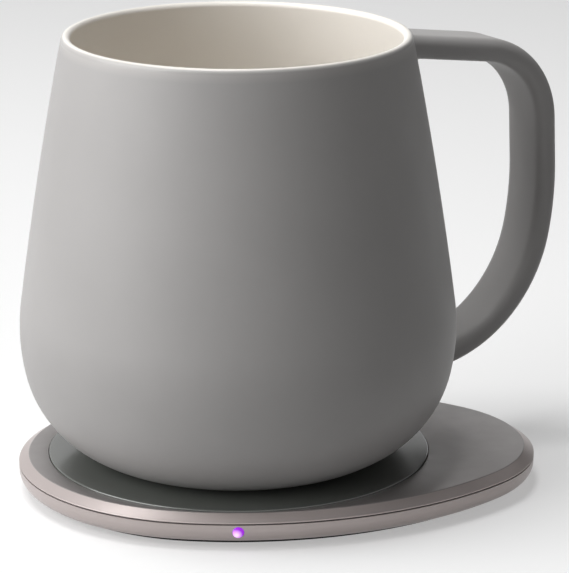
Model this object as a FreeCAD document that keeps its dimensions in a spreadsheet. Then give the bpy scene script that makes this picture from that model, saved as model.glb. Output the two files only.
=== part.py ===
import FreeCAD, Part
import math
import os
import Sketcher

# Warming pad with its mug. Millimetres, +Z up. The origin is on the floor, below the centre of the
# round glass plate. +X runs along the pad's long axis to its rounded nose, +Y to the power inlet.

SIZES = [
    # Plan outline: four arcs that meet smoothly, a wide tail round the glass and a narrower nose.
    ("tail_radius", 41.9),
    ("tail_back", 4.9),
    ("side_radius", 73.5),
    ("nose_radius", 32.0),
    ("nose_ahead", 31.4),
    # Silicone foot and the film of glue above it.
    ("foot_thick", 1.4),
    ("foot_inset", 5.5),
    ("foot_glue_thick", 0.1),
    ("glue_margin", 0.5),
    # Lower case: a shallow tray with a rounded lower edge.
    ("case_height", 4.1),
    ("case_wall", 2.2),
    ("floor_thick", 0.8),
    ("case_round", 3.0),
    # Dark gasket in the seam.
    ("gasket_thick", 0.25),
    ("gasket_inset", 0.35),
    ("gasket_width", 1.5),
    # Metal top cover with its sloped edge, a lip into the case and a seat for the glass.
    ("cover_thick", 1.75),
    ("edge_land", 0.25),
    ("slope_run", 2.2),
    ("lip_clearance", 0.15),
    ("lip_width", 1.0),
    ("lip_depth", 0.5),
    ("rim_land", 0.35),
    ("ledge_width", 4.0),
    # Glass plate.
    ("glass_thick", 1.0),
    ("glass_proud", 0.3),
    ("glass_clearance", 0.1),
    ("glass_bevel", 0.2),
    ("glass_glue_thick", 0.15),
    ("glass_glue_margin", 0.3),
    # Heater under the glass.
    ("spreader_thick", 0.8),
    ("spreader_clearance", 0.3),
    ("film_thick", 0.25),
    ("film_margin", 2.5),
    ("film_tab_width", 8.0),
    ("film_tab_gap", 0.3),
    ("lead_width", 1.2),
    ("lead_spacing", 5.0),
    ("sensor_radius", 1.2),
    ("sensor_height", 1.0),
    ("sensor_pin_radius", 0.25),
    ("sensor_pin_spacing", 1.2),
    ("sensor_clearance", 0.6),
    # Circuit board on the shoulders of four posts.
    ("board_gap", 0.9),
    ("board_thick", 0.8),
    ("board_inset", 3.2),
    ("board_clearance", 0.3),
    ("post_radius", 2.5),
    ("shoulder_width", 0.9),
    ("tail_post_angle", 37.0),
    ("nose_post_ahead", 16.2),
    ("nose_post_side", 15.0),
    # Screws from below.
    ("screw_radius", 0.95),
    ("screw_clearance", 0.15),
    ("thread_clearance", 0.05),
    ("head_radius", 1.9),
    ("head_height", 1.2),
    ("head_clearance", 0.2),
    ("head_sink", 0.1),
    ("thread_length", 2.1),
    ("thread_relief", 0.2),
    # Power inlet at the back.
    ("inlet_width", 8.94),
    ("inlet_height", 3.16),
    ("inlet_round", 1.35),
    ("inlet_depth", 7.35),
    ("inlet_wall", 0.25),
    ("inlet_set_back", 0.6),
    ("inlet_clearance", 0.12),
    ("tongue_width", 6.69),
    ("tongue_thick", 0.7),
    ("tongue_set_back", 0.6),
    ("inlet_root", 2.2),
    # Indicator lamp in the front band.
    ("lamp_along", -4.4),
    ("lamp_up", 2.6),
    ("lamp_radius", 1.15),
    ("lamp_proud", 0.25),
    ("lamp_round", 0.45),
    ("lamp_gap", 0.15),
    ("lamp_hole_clearance", 0.05),
    ("led_width", 1.6),
    ("led_depth", 1.0),
    ("led_height", 0.6),
    # Parts on the board.
    ("chip_size", 5.0),
    ("chip_height", 0.9),
    ("chip_ahead", 13.5),
    ("driver_size", 3.0),
    ("driver_height", 0.8),
    ("driver_ahead", 9.5),
    ("driver_side", 8.0),
    ("coil_size", 4.6),
    ("coil_height", 1.6),
    ("coil_ahead", 21.0),
    ("coil_side", 4.5),
    ("capacitor_length", 2.0),
    ("capacitor_width", 1.25),
    ("capacitor_height", 1.2),
    ("capacitor_ahead", 20.5),
    ("capacitor_side", 10.0),
    ("capacitor_pitch", 2.2),
    # Mug: a round belly below a long, slightly curved side that narrows to the rim.
    ("mug_height", 89.5),
    ("mug_rim_radius", 36.3),
    ("mug_side_arc", 900.0),
    ("mug_belly_radius", 46.0),
    ("mug_belly_up", 27.2),
    ("mug_belly_arc", 42.0),
    ("mug_low_arc", 24.0),
    ("mug_foot_radius", 28.3),
    ("mug_wall", 2.0),
    ("mug_floor", 5.5),
    ("foot_ring_width", 3.5),
    ("foot_ring_height", 1.2),
    ("glaze_thick", 0.35),
    ("glaze_drop", 0.2),
    # Handle: a flat strap on a path of a line, an arc, a line, two arcs and a line. The path starts
    # within the rim's radius and below the rim, its top run ends beyond the belly's radius, and the
    # path ends handle_low below the belly. The straight grip takes up the height between them.
    ("handle_turn", 25.4),
    ("handle_width", 13.0),
    ("handle_thick", 5.1),
    ("handle_round", 2.2),
    ("handle_start", 4.0),
    ("handle_top", 5.2),
    ("handle_slope", 8.3),
    ("handle_top_run", 14.7),
    ("handle_top_arc", 17.5),
    ("handle_top_sweep", 79.4),
    ("handle_mid_arc", 64.4),
    ("handle_mid_sweep", 14.1),
    ("handle_low_arc", 31.0),
    ("handle_low_sweep", 75.0),
    ("handle_low_run", 12.0),
    ("handle_low", 14.7),
    ("handle_root_round", 4.0),
    ("root_gap", 0.02),
]

doc = FreeCAD.newDocument("mug_warmer")
sheet = doc.addObject("Spreadsheet::Sheet", "Sizes")
for row, (alias, size) in enumerate(SIZES, start=1):
    sheet.set("A%d" % row, alias)
    sheet.set("B%d" % row, "%g" % size)
    sheet.setAlias("B%d" % row, alias)
doc.recompute()


def ref(alias):
    return "Sizes." + alias


def number(text):
    # Value of an expression as a plain number.
    result = sheet.evalExpression(text)
    return float(getattr(result, "Value", result))


# Heights above the floor, from the bottom up.
CASE_BASE = "(Sizes.foot_thick + Sizes.foot_glue_thick)"
FLOOR_TOP = "(%s + Sizes.floor_thick)" % CASE_BASE
BOARD_BASE = "(%s + Sizes.board_gap)" % FLOOR_TOP
BOARD_TOP = "(%s + Sizes.board_thick)" % BOARD_BASE
SEAM = "(%s + Sizes.case_height)" % CASE_BASE
COVER_BASE = "(%s + Sizes.gasket_thick)" % SEAM
COVER_TOP = "(%s + Sizes.cover_thick)" % COVER_BASE
GLASS_TOP = "(%s + Sizes.glass_proud)" % COVER_TOP
GLASS_BASE = "(%s - Sizes.glass_thick)" % GLASS_TOP
LEDGE = "(%s - Sizes.glass_glue_thick)" % GLASS_BASE
SPREADER_BASE = "(%s - Sizes.spreader_thick)" % GLASS_BASE
FILM_BASE = "(%s - Sizes.film_thick)" % SPREADER_BASE

# The side arcs' centres: how far ahead of the tail's centre, and how far from the long axis.
TAIL_STEP = "(Sizes.side_radius - Sizes.tail_radius)"
NOSE_STEP = "(Sizes.side_radius - Sizes.nose_radius)"
SPAN = "(Sizes.tail_back + Sizes.nose_ahead)"
SIDE_STEP = "((%s^2 - %s^2 + %s^2) / (2 * %s))" % (TAIL_STEP, NOSE_STEP, SPAN, SPAN)
SIDE_X = "(%s - Sizes.tail_back)" % SIDE_STEP
SIDE_Y = "sqrt(%s^2 - %s^2)" % (TAIL_STEP, SIDE_STEP)
HALF_WIDTH = "(Sizes.side_radius - %s)" % SIDE_Y

# The glass lies inside the narrowest part of the sloped edge.
GLASS_RADIUS = "(%s - Sizes.slope_run - Sizes.rim_land)" % HALF_WIDTH
LEDGE_RADIUS = "(%s - Sizes.ledge_width)" % GLASS_RADIUS
SPREADER_RADIUS = "(%s - Sizes.spreader_clearance)" % LEDGE_RADIUS
FILM_RADIUS = "(%s - Sizes.film_margin)" % SPREADER_RADIUS

# The handle's path follows the mug's rim, height and girth.
HANDLE_START = "(Sizes.mug_rim_radius - Sizes.handle_start)"
HANDLE_TOP = "(Sizes.mug_height - Sizes.handle_top)"
HANDLE_REACH = "(Sizes.mug_belly_radius + Sizes.handle_top_run)"
TOP_RUN = "((%s - %s) / cos(Sizes.handle_slope * 1 deg))" % (HANDLE_REACH, HANDLE_START)
HANDLE_END = "(Sizes.mug_belly_up - Sizes.handle_low)"

# The strap's heading below the horizontal after each bend, the height that each bend falls and
# the height left for the grip.
AFTER_TOP = "((Sizes.handle_slope + Sizes.handle_top_sweep) * 1 deg)"
AFTER_MID = "(%s + Sizes.handle_mid_sweep * 1 deg)" % AFTER_TOP
AFTER_LOW = "(%s + Sizes.handle_low_sweep * 1 deg)" % AFTER_MID
TOP_FALL = "(%s * sin(Sizes.handle_slope * 1 deg) + Sizes.handle_top_arc * %s)" % (
    TOP_RUN, "(cos(Sizes.handle_slope * 1 deg) - cos(%s))" % AFTER_TOP
)
MID_FALL = "(Sizes.handle_mid_arc * (cos(%s) - cos(%s)))" % (AFTER_TOP, AFTER_MID)
LOW_FALL = "(Sizes.handle_low_arc * (cos(%s) - cos(%s)) + Sizes.handle_low_run * sin(%s))" % (
    AFTER_MID, AFTER_LOW, AFTER_LOW
)
GRIP_FALL = "(%s - %s - %s - %s - %s)" % (HANDLE_TOP, HANDLE_END, TOP_FALL, MID_FALL, LOW_FALL)
GRIP_RUN = "(%s / sin(%s))" % (GRIP_FALL, AFTER_TOP)

# Screw posts: two below the glass's ledge and two in the nose.
TAIL_POST_REACH = "(%s + Sizes.ledge_width / 2 + Sizes.glass_glue_margin)" % LEDGE_RADIUS
TAIL_POST_X = "(0 - %s * cos(Sizes.tail_post_angle * 1 deg))" % TAIL_POST_REACH
TAIL_POST_Y = "(%s * sin(Sizes.tail_post_angle * 1 deg))" % TAIL_POST_REACH
NOSE_POST_X = "(Sizes.nose_ahead + Sizes.nose_post_ahead)"
NOSE_POST_Y = "Sizes.nose_post_side"
POSTS = [
    (TAIL_POST_X, TAIL_POST_Y),
    (TAIL_POST_X, "(0 - %s)" % TAIL_POST_Y),
    (NOSE_POST_X, NOSE_POST_Y),
    (NOSE_POST_X, "(0 - %s)" % NOSE_POST_Y),
]

# The inlet's middle lies in the board's middle plane.
INLET_UP = "(%s + Sizes.board_thick / 2)" % BOARD_BASE
INLET_MOUTH = "(%s - Sizes.inlet_set_back)" % HALF_WIDTH
INLET_END = "(%s - Sizes.inlet_depth)" % INLET_MOUTH

# The lamp sits where the front side arc passes lamp_along.
LAMP_FRONT = "(sqrt(Sizes.side_radius^2 - (Sizes.lamp_along - %s)^2) - %s)" % (SIDE_X, SIDE_Y)
LAMP_UP = "(%s + Sizes.lamp_up)" % CASE_BASE
LAMP_INSIDE = "(%s - Sizes.board_inset + Sizes.lamp_gap)" % LAMP_FRONT


def plane(body, role):
    for feature in body.Origin.OriginFeatures:
        if feature.Role == role:
            return feature
    raise ValueError(role)


def new_body(label):
    body = doc.addObject("PartDesign::Body", label)
    body.Label = label
    return body


def new_sketch(body, name, role="XY_Plane", height=None):
    sketch = body.newObject("Sketcher::SketchObject", name)
    sketch.AttachmentSupport = [(plane(body, role), "")]
    sketch.MapMode = "FlatFace"
    if height is not None:
        sketch.setExpression("AttachmentOffset.Base.z", height)
    return sketch


def fix(sketch, kind, places, text):
    # One driven size of a sketch.
    amount = number(text)
    if kind == "Angle":
        amount = math.radians(amount)
    index = sketch.addConstraint(Sketcher.Constraint(kind, *places, amount))
    sketch.setExpression("Constraints[%d]" % index, text)
    return index


def fix_x(sketch, element, point, text):
    if number(text) < 0:
        return fix(sketch, "DistanceX", (element, point, -1, 1), "0 - " + text)
    return fix(sketch, "DistanceX", (-1, 1, element, point), text)


def fix_y(sketch, element, point, text):
    if number(text) < 0:
        return fix(sketch, "DistanceY", (element, point, -1, 1), "0 - " + text)
    return fix(sketch, "DistanceY", (-1, 1, element, point), text)


def link(sketch, first, first_point, second, second_point, kind="Coincident"):
    sketch.addConstraint(Sketcher.Constraint(kind, first, first_point, second, second_point))


def vector(x, y):
    return FreeCAD.Vector(x, y, 0)


def add_line(sketch, start, end):
    return sketch.addGeometry(Part.LineSegment(vector(*start), vector(*end)))


def add_arc(sketch, centre, radius, start, end):
    # Counter-clockwise from the start angle to the end angle, in radians.
    circle = Part.Circle(vector(*centre), FreeCAD.Vector(0, 0, 1), radius)
    return sketch.addGeometry(Part.ArcOfCircle(circle, start, end))


def add_circle(sketch, radius, x=None, y=None):
    centre = (number(x) if x else 0, number(y) if y else 0)
    shape = Part.Circle(vector(*centre), FreeCAD.Vector(0, 0, 1), number(radius))
    element = sketch.addGeometry(shape)
    fix(sketch, "Radius", (element,), radius)
    if x is None:
        link(sketch, element, 3, -1, 1)
    else:
        fix_x(sketch, element, 3, x)
        fix_y(sketch, element, 3, y)
    return element


def add_outline(sketch, inset="0"):
    # The pad's outline, drawn in by an inset: the same centres with smaller radii.
    gap = number(inset)
    tail = (-number(ref("tail_back")), 0.0)
    nose = (number(ref("nose_ahead")), 0.0)
    radii = [number(ref(name)) - gap for name in ("tail_radius", "side_radius", "nose_radius")]
    side_x = number(SIDE_X)
    side_y = number(SIDE_Y)
    to_tail = math.atan2(side_y, tail[0] - side_x)
    to_nose = math.atan2(side_y, nose[0] - side_x)
    tail_arc = add_arc(sketch, tail, radii[0], to_tail, 2 * math.pi - to_tail)
    front_arc = add_arc(sketch, (side_x, side_y), radii[1], -to_tail, -to_nose)
    nose_arc = add_arc(sketch, nose, radii[2], -to_nose, to_nose)
    back_arc = add_arc(sketch, (side_x, -side_y), radii[1], to_nose, to_tail)
    ring = [tail_arc, front_arc, nose_arc, back_arc]
    for here, after in zip(ring, ring[1:] + ring[:1]):
        link(sketch, here, 2, after, 1, "Tangent")
    fix(sketch, "Radius", (tail_arc,), "Sizes.tail_radius - %s" % inset)
    fix(sketch, "Radius", (front_arc,), "Sizes.side_radius - %s" % inset)
    fix(sketch, "Radius", (nose_arc,), "Sizes.nose_radius - %s" % inset)
    fix(sketch, "Radius", (back_arc,), "Sizes.side_radius - %s" % inset)
    fix_x(sketch, tail_arc, 3, "(0 - Sizes.tail_back)")
    sketch.addConstraint(Sketcher.Constraint("PointOnObject", tail_arc, 3, -1))
    fix_x(sketch, nose_arc, 3, ref("nose_ahead"))
    sketch.addConstraint(Sketcher.Constraint("PointOnObject", nose_arc, 3, -1))


def add_rounded_rectangle(sketch, width, height, corner, x, y):
    # Rounded rectangle about (x, y), counter-clockwise from its lower edge.
    half_w = number(width) / 2
    half_h = number(height) / 2
    r = number(corner)
    cx = number(x)
    cy = number(y)
    turn = math.pi / 2
    lines = []
    arcs = []
    ends = [
        ((cx - half_w + r, cy - half_h), (cx + half_w - r, cy - half_h)),
        ((cx + half_w, cy - half_h + r), (cx + half_w, cy + half_h - r)),
        ((cx + half_w - r, cy + half_h), (cx - half_w + r, cy + half_h)),
        ((cx - half_w, cy + half_h - r), (cx - half_w, cy - half_h + r)),
    ]
    centres = [
        (cx + half_w - r, cy - half_h + r),
        (cx + half_w - r, cy + half_h - r),
        (cx - half_w + r, cy + half_h - r),
        (cx - half_w + r, cy - half_h + r),
    ]
    for index in range(4):
        lines.append(add_line(sketch, *ends[index]))
        arcs.append(add_arc(sketch, centres[index], r, (index - 1) * turn, index * turn))
    for index in range(4):
        link(sketch, lines[index], 2, arcs[index], 1, "Tangent")
        link(sketch, arcs[index], 2, lines[(index + 1) % 4], 1, "Tangent")
    for index in (0, 2):
        sketch.addConstraint(Sketcher.Constraint("Horizontal", lines[index]))
    for index in (1, 3):
        sketch.addConstraint(Sketcher.Constraint("Vertical", lines[index]))
    for index in (1, 2, 3):
        sketch.addConstraint(Sketcher.Constraint("Equal", arcs[0], arcs[index]))
    fix(sketch, "Radius", (arcs[0],), corner)
    fix(sketch, "DistanceX", (lines[2], 2, lines[2], 1), "%s - 2 * %s" % (width, corner))
    fix(sketch, "DistanceY", (lines[1], 1, lines[1], 2), "%s - 2 * %s" % (height, corner))
    fix_x(sketch, lines[0], 1, "(%s - %s / 2 + %s)" % (x, width, corner))
    fix_y(sketch, lines[0], 1, "(%s - %s / 2)" % (y, height))


def pad(body, sketch, length):
    feature = body.newObject("PartDesign::Pad", sketch.Name + "_pad")
    feature.Profile = sketch
    feature.setExpression("Length", length)
    sketch.Visibility = False
    return feature


def pocket(body, sketch, length=None, other_way=False):
    # Cuts from the sketch's plane against its normal, or along it when other_way is set.
    before = body.Shape.Volume
    feature = body.newObject("PartDesign::Pocket", sketch.Name + "_cut")
    feature.Profile = sketch
    feature.Reversed = other_way
    if length is None:
        feature.Type = 1
    else:
        feature.setExpression("Length", length)
    doc.recompute()
    if not feature.Shape.Volume < before:
        raise ValueError("%s cuts nothing" % feature.Name)
    return feature


def edges_at(shape, height):
    # Names of the edges that lie in one level plane.
    names = []
    for index, edge in enumerate(shape.Edges, start=1):
        box = edge.BoundBox
        if abs(box.ZMin - height) < 1e-4 and abs(box.ZMax - height) < 1e-4:
            names.append("Edge%d" % index)
    return names


def fillet(body, base, names, radius):
    feature = body.newObject("PartDesign::Fillet", base.Name + "_round")
    feature.Base = (base, names)
    feature.setExpression("Radius", radius)
    return feature


def make_cylinder(name, radius, height, x="0", y="0", z="0"):
    shape = doc.addObject("Part::Cylinder", name)
    shape.setExpression("Radius", radius)
    shape.setExpression("Height", height)
    shape.setExpression("Placement.Base.x", x)
    shape.setExpression("Placement.Base.y", y)
    shape.setExpression("Placement.Base.z", z)
    return shape


def make_box(name, length, width, height, x, y, z):
    # Box centred on (x, y), standing on z.
    shape = doc.addObject("Part::Box", name)
    shape.setExpression("Length", length)
    shape.setExpression("Width", width)
    shape.setExpression("Height", height)
    shape.setExpression("Placement.Base.x", "%s - %s / 2" % (x, length))
    shape.setExpression("Placement.Base.y", "%s - %s / 2" % (y, width))
    shape.setExpression("Placement.Base.z", z)
    return shape


def make_group(label, members):
    group = doc.addObject("Part::Compound", label)
    group.Links = members
    group.Label = label
    return group


parts = []


def keep(item):
    item.Label = item.Name
    parts.append(item)
    return item


# Silicone foot: one flat sheet, inset all round, that the pad stands on.
foot = new_body("silicone_foot")
foot_sketch = new_sketch(foot, "foot_outline")
add_outline(foot_sketch, ref("foot_inset"))
pad(foot, foot_sketch, ref("foot_thick"))
keep(foot)

foot_glue = new_body("foot_adhesive")
foot_glue_sketch = new_sketch(foot_glue, "foot_glue_outline", height=ref("foot_thick"))
add_outline(foot_glue_sketch, "(Sizes.foot_inset + Sizes.glue_margin)")
pad(foot_glue, foot_glue_sketch, ref("foot_glue_thick"))
keep(foot_glue)

# Lower case: tray with a rounded lower edge, four screw posts, the inlet's opening and the lamp's.
case = new_body("lower_case")
case_sketch = new_sketch(case, "case_outline", height=CASE_BASE)
add_outline(case_sketch)
case_pad = pad(case, case_sketch, ref("case_height"))
doc.recompute()
fillet(case, case_pad, edges_at(case_pad.Shape, number(CASE_BASE)), ref("case_round"))
doc.recompute()
case_inside = new_sketch(case, "case_inside", height=SEAM)
add_outline(case_inside, ref("case_wall"))
pocket(case, case_inside, "Sizes.case_height - Sizes.floor_thick")
shoulders = new_sketch(case, "post_shoulders", height=FLOOR_TOP)
posts = new_sketch(case, "post_tops", height=FLOOR_TOP)
for post_x, post_y in POSTS:
    add_circle(shoulders, "(Sizes.post_radius + Sizes.shoulder_width)", post_x, post_y)
    add_circle(posts, ref("post_radius"), post_x, post_y)
pad(case, shoulders, ref("board_gap"))
pad(case, posts, "Sizes.board_gap + Sizes.board_thick")
doc.recompute()
shank_holes = new_sketch(case, "shank_holes", height=CASE_BASE)
head_holes = new_sketch(case, "head_holes", height=CASE_BASE)
for post_x, post_y in POSTS:
    add_circle(shank_holes, "(Sizes.screw_radius + Sizes.screw_clearance)", post_x, post_y)
    add_circle(head_holes, "(Sizes.head_radius + Sizes.head_clearance)", post_x, post_y)
pocket(case, shank_holes, other_way=True)
pocket(case, head_holes, "Sizes.head_height + Sizes.head_sink", other_way=True)
inlet_cut = new_sketch(case, "inlet_opening", "XZ_Plane", "(0 - %s - Sizes.case_wall)" % HALF_WIDTH)
add_rounded_rectangle(
    inlet_cut,
    "(Sizes.inlet_width + 2 * Sizes.inlet_clearance)",
    "(Sizes.inlet_height + 2 * Sizes.inlet_clearance)",
    "(Sizes.inlet_round + Sizes.inlet_clearance)",
    SIDE_X,
    INLET_UP,
)
INLET_CUT_DEPTH = "(Sizes.case_wall + Sizes.inlet_set_back + Sizes.inlet_depth + Sizes.inlet_clearance)"
pocket(case, inlet_cut, INLET_CUT_DEPTH, other_way=True)
lamp_cut = new_sketch(case, "lamp_opening", "XZ_Plane", "(%s + Sizes.lamp_proud)" % LAMP_FRONT)
add_circle(lamp_cut, "(Sizes.lamp_radius + Sizes.lamp_hole_clearance)", ref("lamp_along"), LAMP_UP)
pocket(case, lamp_cut, "2 * Sizes.case_wall")
keep(case)

# Gasket between the lower case and the cover.
gasket = new_body("seam_gasket")
gasket_sketch = new_sketch(gasket, "gasket_outline", height=SEAM)
add_outline(gasket_sketch, ref("gasket_inset"))
add_outline(gasket_sketch, "(Sizes.gasket_inset + Sizes.gasket_width)")
pad(gasket, gasket_sketch, ref("gasket_thick"))
keep(gasket)

# Top cover: metal plate with a sloped edge, the glass's seat, a lip and four threaded bosses.
cover = new_body("top_cover")
cover_sketch = new_sketch(cover, "cover_outline", height=COVER_BASE)
add_outline(cover_sketch)
pad(cover, cover_sketch, ref("edge_land"))
slope_foot = new_sketch(cover, "slope_foot", height="%s + Sizes.edge_land" % COVER_BASE)
add_outline(slope_foot)
slope_head = new_sketch(cover, "slope_head", height=COVER_TOP)
add_outline(slope_head, ref("slope_run"))
slope = cover.newObject("PartDesign::AdditiveLoft", "cover_slope")
slope.Profile = slope_foot
slope.Sections = [slope_head]
slope.Ruled = True
doc.recompute()
seat_sketch = new_sketch(cover, "glass_seat", height=COVER_TOP)
add_circle(seat_sketch, "(%s + Sizes.glass_clearance)" % GLASS_RADIUS)
pocket(cover, seat_sketch, "%s - %s" % (COVER_TOP, LEDGE))
window_sketch = new_sketch(cover, "heater_window", height=COVER_TOP)
add_circle(window_sketch, LEDGE_RADIUS)
pocket(cover, window_sketch)
lip_sketch = new_sketch(cover, "cover_lip", height="%s - Sizes.lip_depth" % COVER_BASE)
LIP_INSET = "(Sizes.case_wall + Sizes.lip_clearance)"
add_outline(lip_sketch, LIP_INSET)
add_outline(lip_sketch, "(%s + Sizes.lip_width)" % LIP_INSET)
pad(cover, lip_sketch, ref("lip_depth"))
boss_sketch = new_sketch(cover, "cover_bosses", height=BOARD_TOP)
thread_sketch = new_sketch(cover, "thread_holes", height=BOARD_TOP)
for post_x, post_y in POSTS:
    add_circle(boss_sketch, ref("post_radius"), post_x, post_y)
    add_circle(thread_sketch, "(Sizes.screw_radius + Sizes.thread_clearance)", post_x, post_y)
pad(cover, boss_sketch, "%s - %s" % (COVER_BASE, BOARD_TOP))
doc.recompute()
pocket(cover, thread_sketch, "Sizes.thread_length + Sizes.thread_relief", other_way=True)
keep(cover)

# Glass plate, a little proud of the cover, and the glue ring that holds it on the ledge.
glass = new_body("glass_plate")
glass_sketch = new_sketch(glass, "glass_circle", height=GLASS_BASE)
add_circle(glass_sketch, GLASS_RADIUS)
glass_pad = pad(glass, glass_sketch, ref("glass_thick"))
doc.recompute()
glass_edge = glass.newObject("PartDesign::Chamfer", "glass_edge")
glass_edge.Base = (glass_pad, edges_at(glass_pad.Shape, number(GLASS_TOP)))
glass_edge.setExpression("Size", ref("glass_bevel"))
keep(glass)

glass_glue = new_body("glass_adhesive")
glass_glue_sketch = new_sketch(glass_glue, "glass_glue_ring", height=LEDGE)
add_circle(glass_glue_sketch, "(%s - Sizes.glass_glue_margin)" % GLASS_RADIUS)
add_circle(glass_glue_sketch, "(%s + Sizes.glass_glue_margin)" % LEDGE_RADIUS)
pad(glass_glue, glass_glue_sketch, ref("glass_glue_thick"))
keep(glass_glue)

# Heater: spreader plate against the glass, printed film below it with a tab for its two leads.
keep(make_cylinder("heat_spreader", SPREADER_RADIUS, ref("spreader_thick"), z=SPREADER_BASE))

TAB_END = "(%s - Sizes.film_tab_gap)" % SPREADER_RADIUS
film_disc = make_cylinder("film_disc", FILM_RADIUS, ref("film_thick"), z=FILM_BASE)
film_tab = make_box(
    "film_tab", TAB_END, ref("film_tab_width"), ref("film_thick"), "(%s / 2)" % TAB_END, "0", FILM_BASE
)
film = doc.addObject("Part::Fuse", "heating_film")
film.Base = film_disc
film.Tool = film_tab
film.Refine = True
keep(film)

LEAD_HEIGHT = "(%s - %s)" % (FILM_BASE, BOARD_TOP)
LEAD_X = "(%s - Sizes.lead_width)" % TAB_END
leads = []
for lead_name, lead_sign in (("lead_left", ""), ("lead_right", "0 - ")):
    lead_y = "(%sSizes.lead_spacing / 2)" % lead_sign
    leads.append(
        make_box(lead_name, ref("lead_width"), ref("lead_width"), LEAD_HEIGHT, LEAD_X, lead_y, BOARD_TOP)
    )
keep(make_group("heater_leads", leads))

# Insulation between the film and the board, with a well for the temperature sensor.
insulation_disc = make_cylinder("insulation_block", FILM_RADIUS, LEAD_HEIGHT, z=BOARD_TOP)
sensor_well = make_cylinder(
    "sensor_well", "(Sizes.sensor_radius + Sizes.sensor_clearance)", LEAD_HEIGHT, z=BOARD_TOP
)
insulation = doc.addObject("Part::Cut", "insulation_disc")
insulation.Base = insulation_disc
insulation.Tool = sensor_well
keep(insulation)

sensor_head = make_cylinder(
    "sensor_head", ref("sensor_radius"), ref("sensor_height"), z="%s - Sizes.sensor_height" % FILM_BASE
)
PIN_HEIGHT = "(%s - Sizes.sensor_height / 2)" % LEAD_HEIGHT
sensor_pins = []
for pin_name, pin_sign in (("sensor_pin_left", ""), ("sensor_pin_right", "0 - ")):
    pin_y = "(%sSizes.sensor_pin_spacing / 2)" % pin_sign
    sensor_pins.append(make_cylinder(pin_name, ref("sensor_pin_radius"), PIN_HEIGHT, y=pin_y, z=BOARD_TOP))
sensor = doc.addObject("Part::MultiFuse", "temperature_sensor")
sensor.Shapes = [sensor_head] + sensor_pins
keep(sensor)

# Circuit board: holes round the posts and a notch for the inlet.
board = new_body("circuit_board")
board_sketch = new_sketch(board, "board_outline", height=BOARD_BASE)
add_outline(board_sketch, ref("board_inset"))
pad(board, board_sketch, ref("board_thick"))
doc.recompute()
for index, (post_x, post_y) in enumerate(POSTS):
    hole_sketch = new_sketch(board, "post_hole_%d" % index, height=BOARD_BASE)
    add_circle(hole_sketch, "(Sizes.post_radius + Sizes.board_clearance)", post_x, post_y)
    pocket(board, hole_sketch, ref("board_thick"), other_way=True)
    doc.recompute()
notch_sketch = new_sketch(board, "inlet_notch", "XZ_Plane", "(0 - %s)" % HALF_WIDTH)
add_rounded_rectangle(
    notch_sketch,
    "(Sizes.inlet_width + 2 * Sizes.board_clearance)",
    "(Sizes.inlet_height + 2 * Sizes.board_clearance)",
    ref("inlet_round"),
    SIDE_X,
    INLET_UP,
)
pocket(board, notch_sketch, "(%s - %s)" % (HALF_WIDTH, INLET_END), other_way=True)
keep(board)

# Power inlet: a metal shell, and the insulator inside it with its tongue.
shell = new_body("inlet_shell")
shell_sketch = new_sketch(shell, "shell_section", "XZ_Plane", "(0 - %s)" % INLET_MOUTH)
add_rounded_rectangle(
    shell_sketch, ref("inlet_width"), ref("inlet_height"), ref("inlet_round"), SIDE_X, INLET_UP
)
INLET_INNER_WIDTH = "(Sizes.inlet_width - 2 * Sizes.inlet_wall)"
INLET_INNER_HEIGHT = "(Sizes.inlet_height - 2 * Sizes.inlet_wall)"
INLET_INNER_ROUND = "(Sizes.inlet_round - Sizes.inlet_wall)"
add_rounded_rectangle(
    shell_sketch, INLET_INNER_WIDTH, INLET_INNER_HEIGHT, INLET_INNER_ROUND, SIDE_X, INLET_UP
)
pad(shell, shell_sketch, ref("inlet_depth"))
keep(shell)

tongue = new_body("inlet_tongue")
root_sketch = new_sketch(tongue, "root_section", "XZ_Plane", "(0 - %s - Sizes.inlet_root)" % INLET_END)
add_rounded_rectangle(
    root_sketch, INLET_INNER_WIDTH, INLET_INNER_HEIGHT, INLET_INNER_ROUND, SIDE_X, INLET_UP
)
pad(tongue, root_sketch, ref("inlet_root"))
TONGUE_TIP = "(%s - Sizes.tongue_set_back)" % INLET_MOUTH
blade_sketch = new_sketch(tongue, "blade_section", "XZ_Plane", "(0 - %s)" % TONGUE_TIP)
add_rounded_rectangle(
    blade_sketch, ref("tongue_width"), ref("tongue_thick"), "(Sizes.tongue_thick / 4)", SIDE_X, INLET_UP
)
pad(tongue, blade_sketch, "%s - %s - Sizes.inlet_root / 2" % (TONGUE_TIP, INLET_END))
keep(tongue)

# Indicator lamp: a light guide through the front band and the diode behind it on the board.
guide = new_body("light_guide")
guide_sketch = new_sketch(guide, "guide_circle", "XZ_Plane", LAMP_INSIDE)
add_circle(guide_sketch, ref("lamp_radius"), ref("lamp_along"), LAMP_UP)
guide_pad = pad(guide, guide_sketch, "%s + Sizes.lamp_proud - %s" % (LAMP_FRONT, LAMP_INSIDE))
doc.recompute()
guide_front = -number(LAMP_FRONT) - number(ref("lamp_proud"))
front_edges = []
for edge_index, guide_edge in enumerate(guide_pad.Shape.Edges, start=1):
    if guide_edge.BoundBox.YMax < guide_front + 1e-4:
        front_edges.append("Edge%d" % edge_index)
fillet(guide, guide_pad, front_edges, ref("lamp_round"))
keep(guide)

LED_Y = "(Sizes.led_depth / 2 + Sizes.lamp_gap - %s)" % LAMP_INSIDE
keep(
    make_box(
        "indicator_led",
        ref("led_width"),
        ref("led_depth"),
        ref("led_height"),
        ref("lamp_along"),
        LED_Y,
        BOARD_TOP,
    )
)

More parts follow.
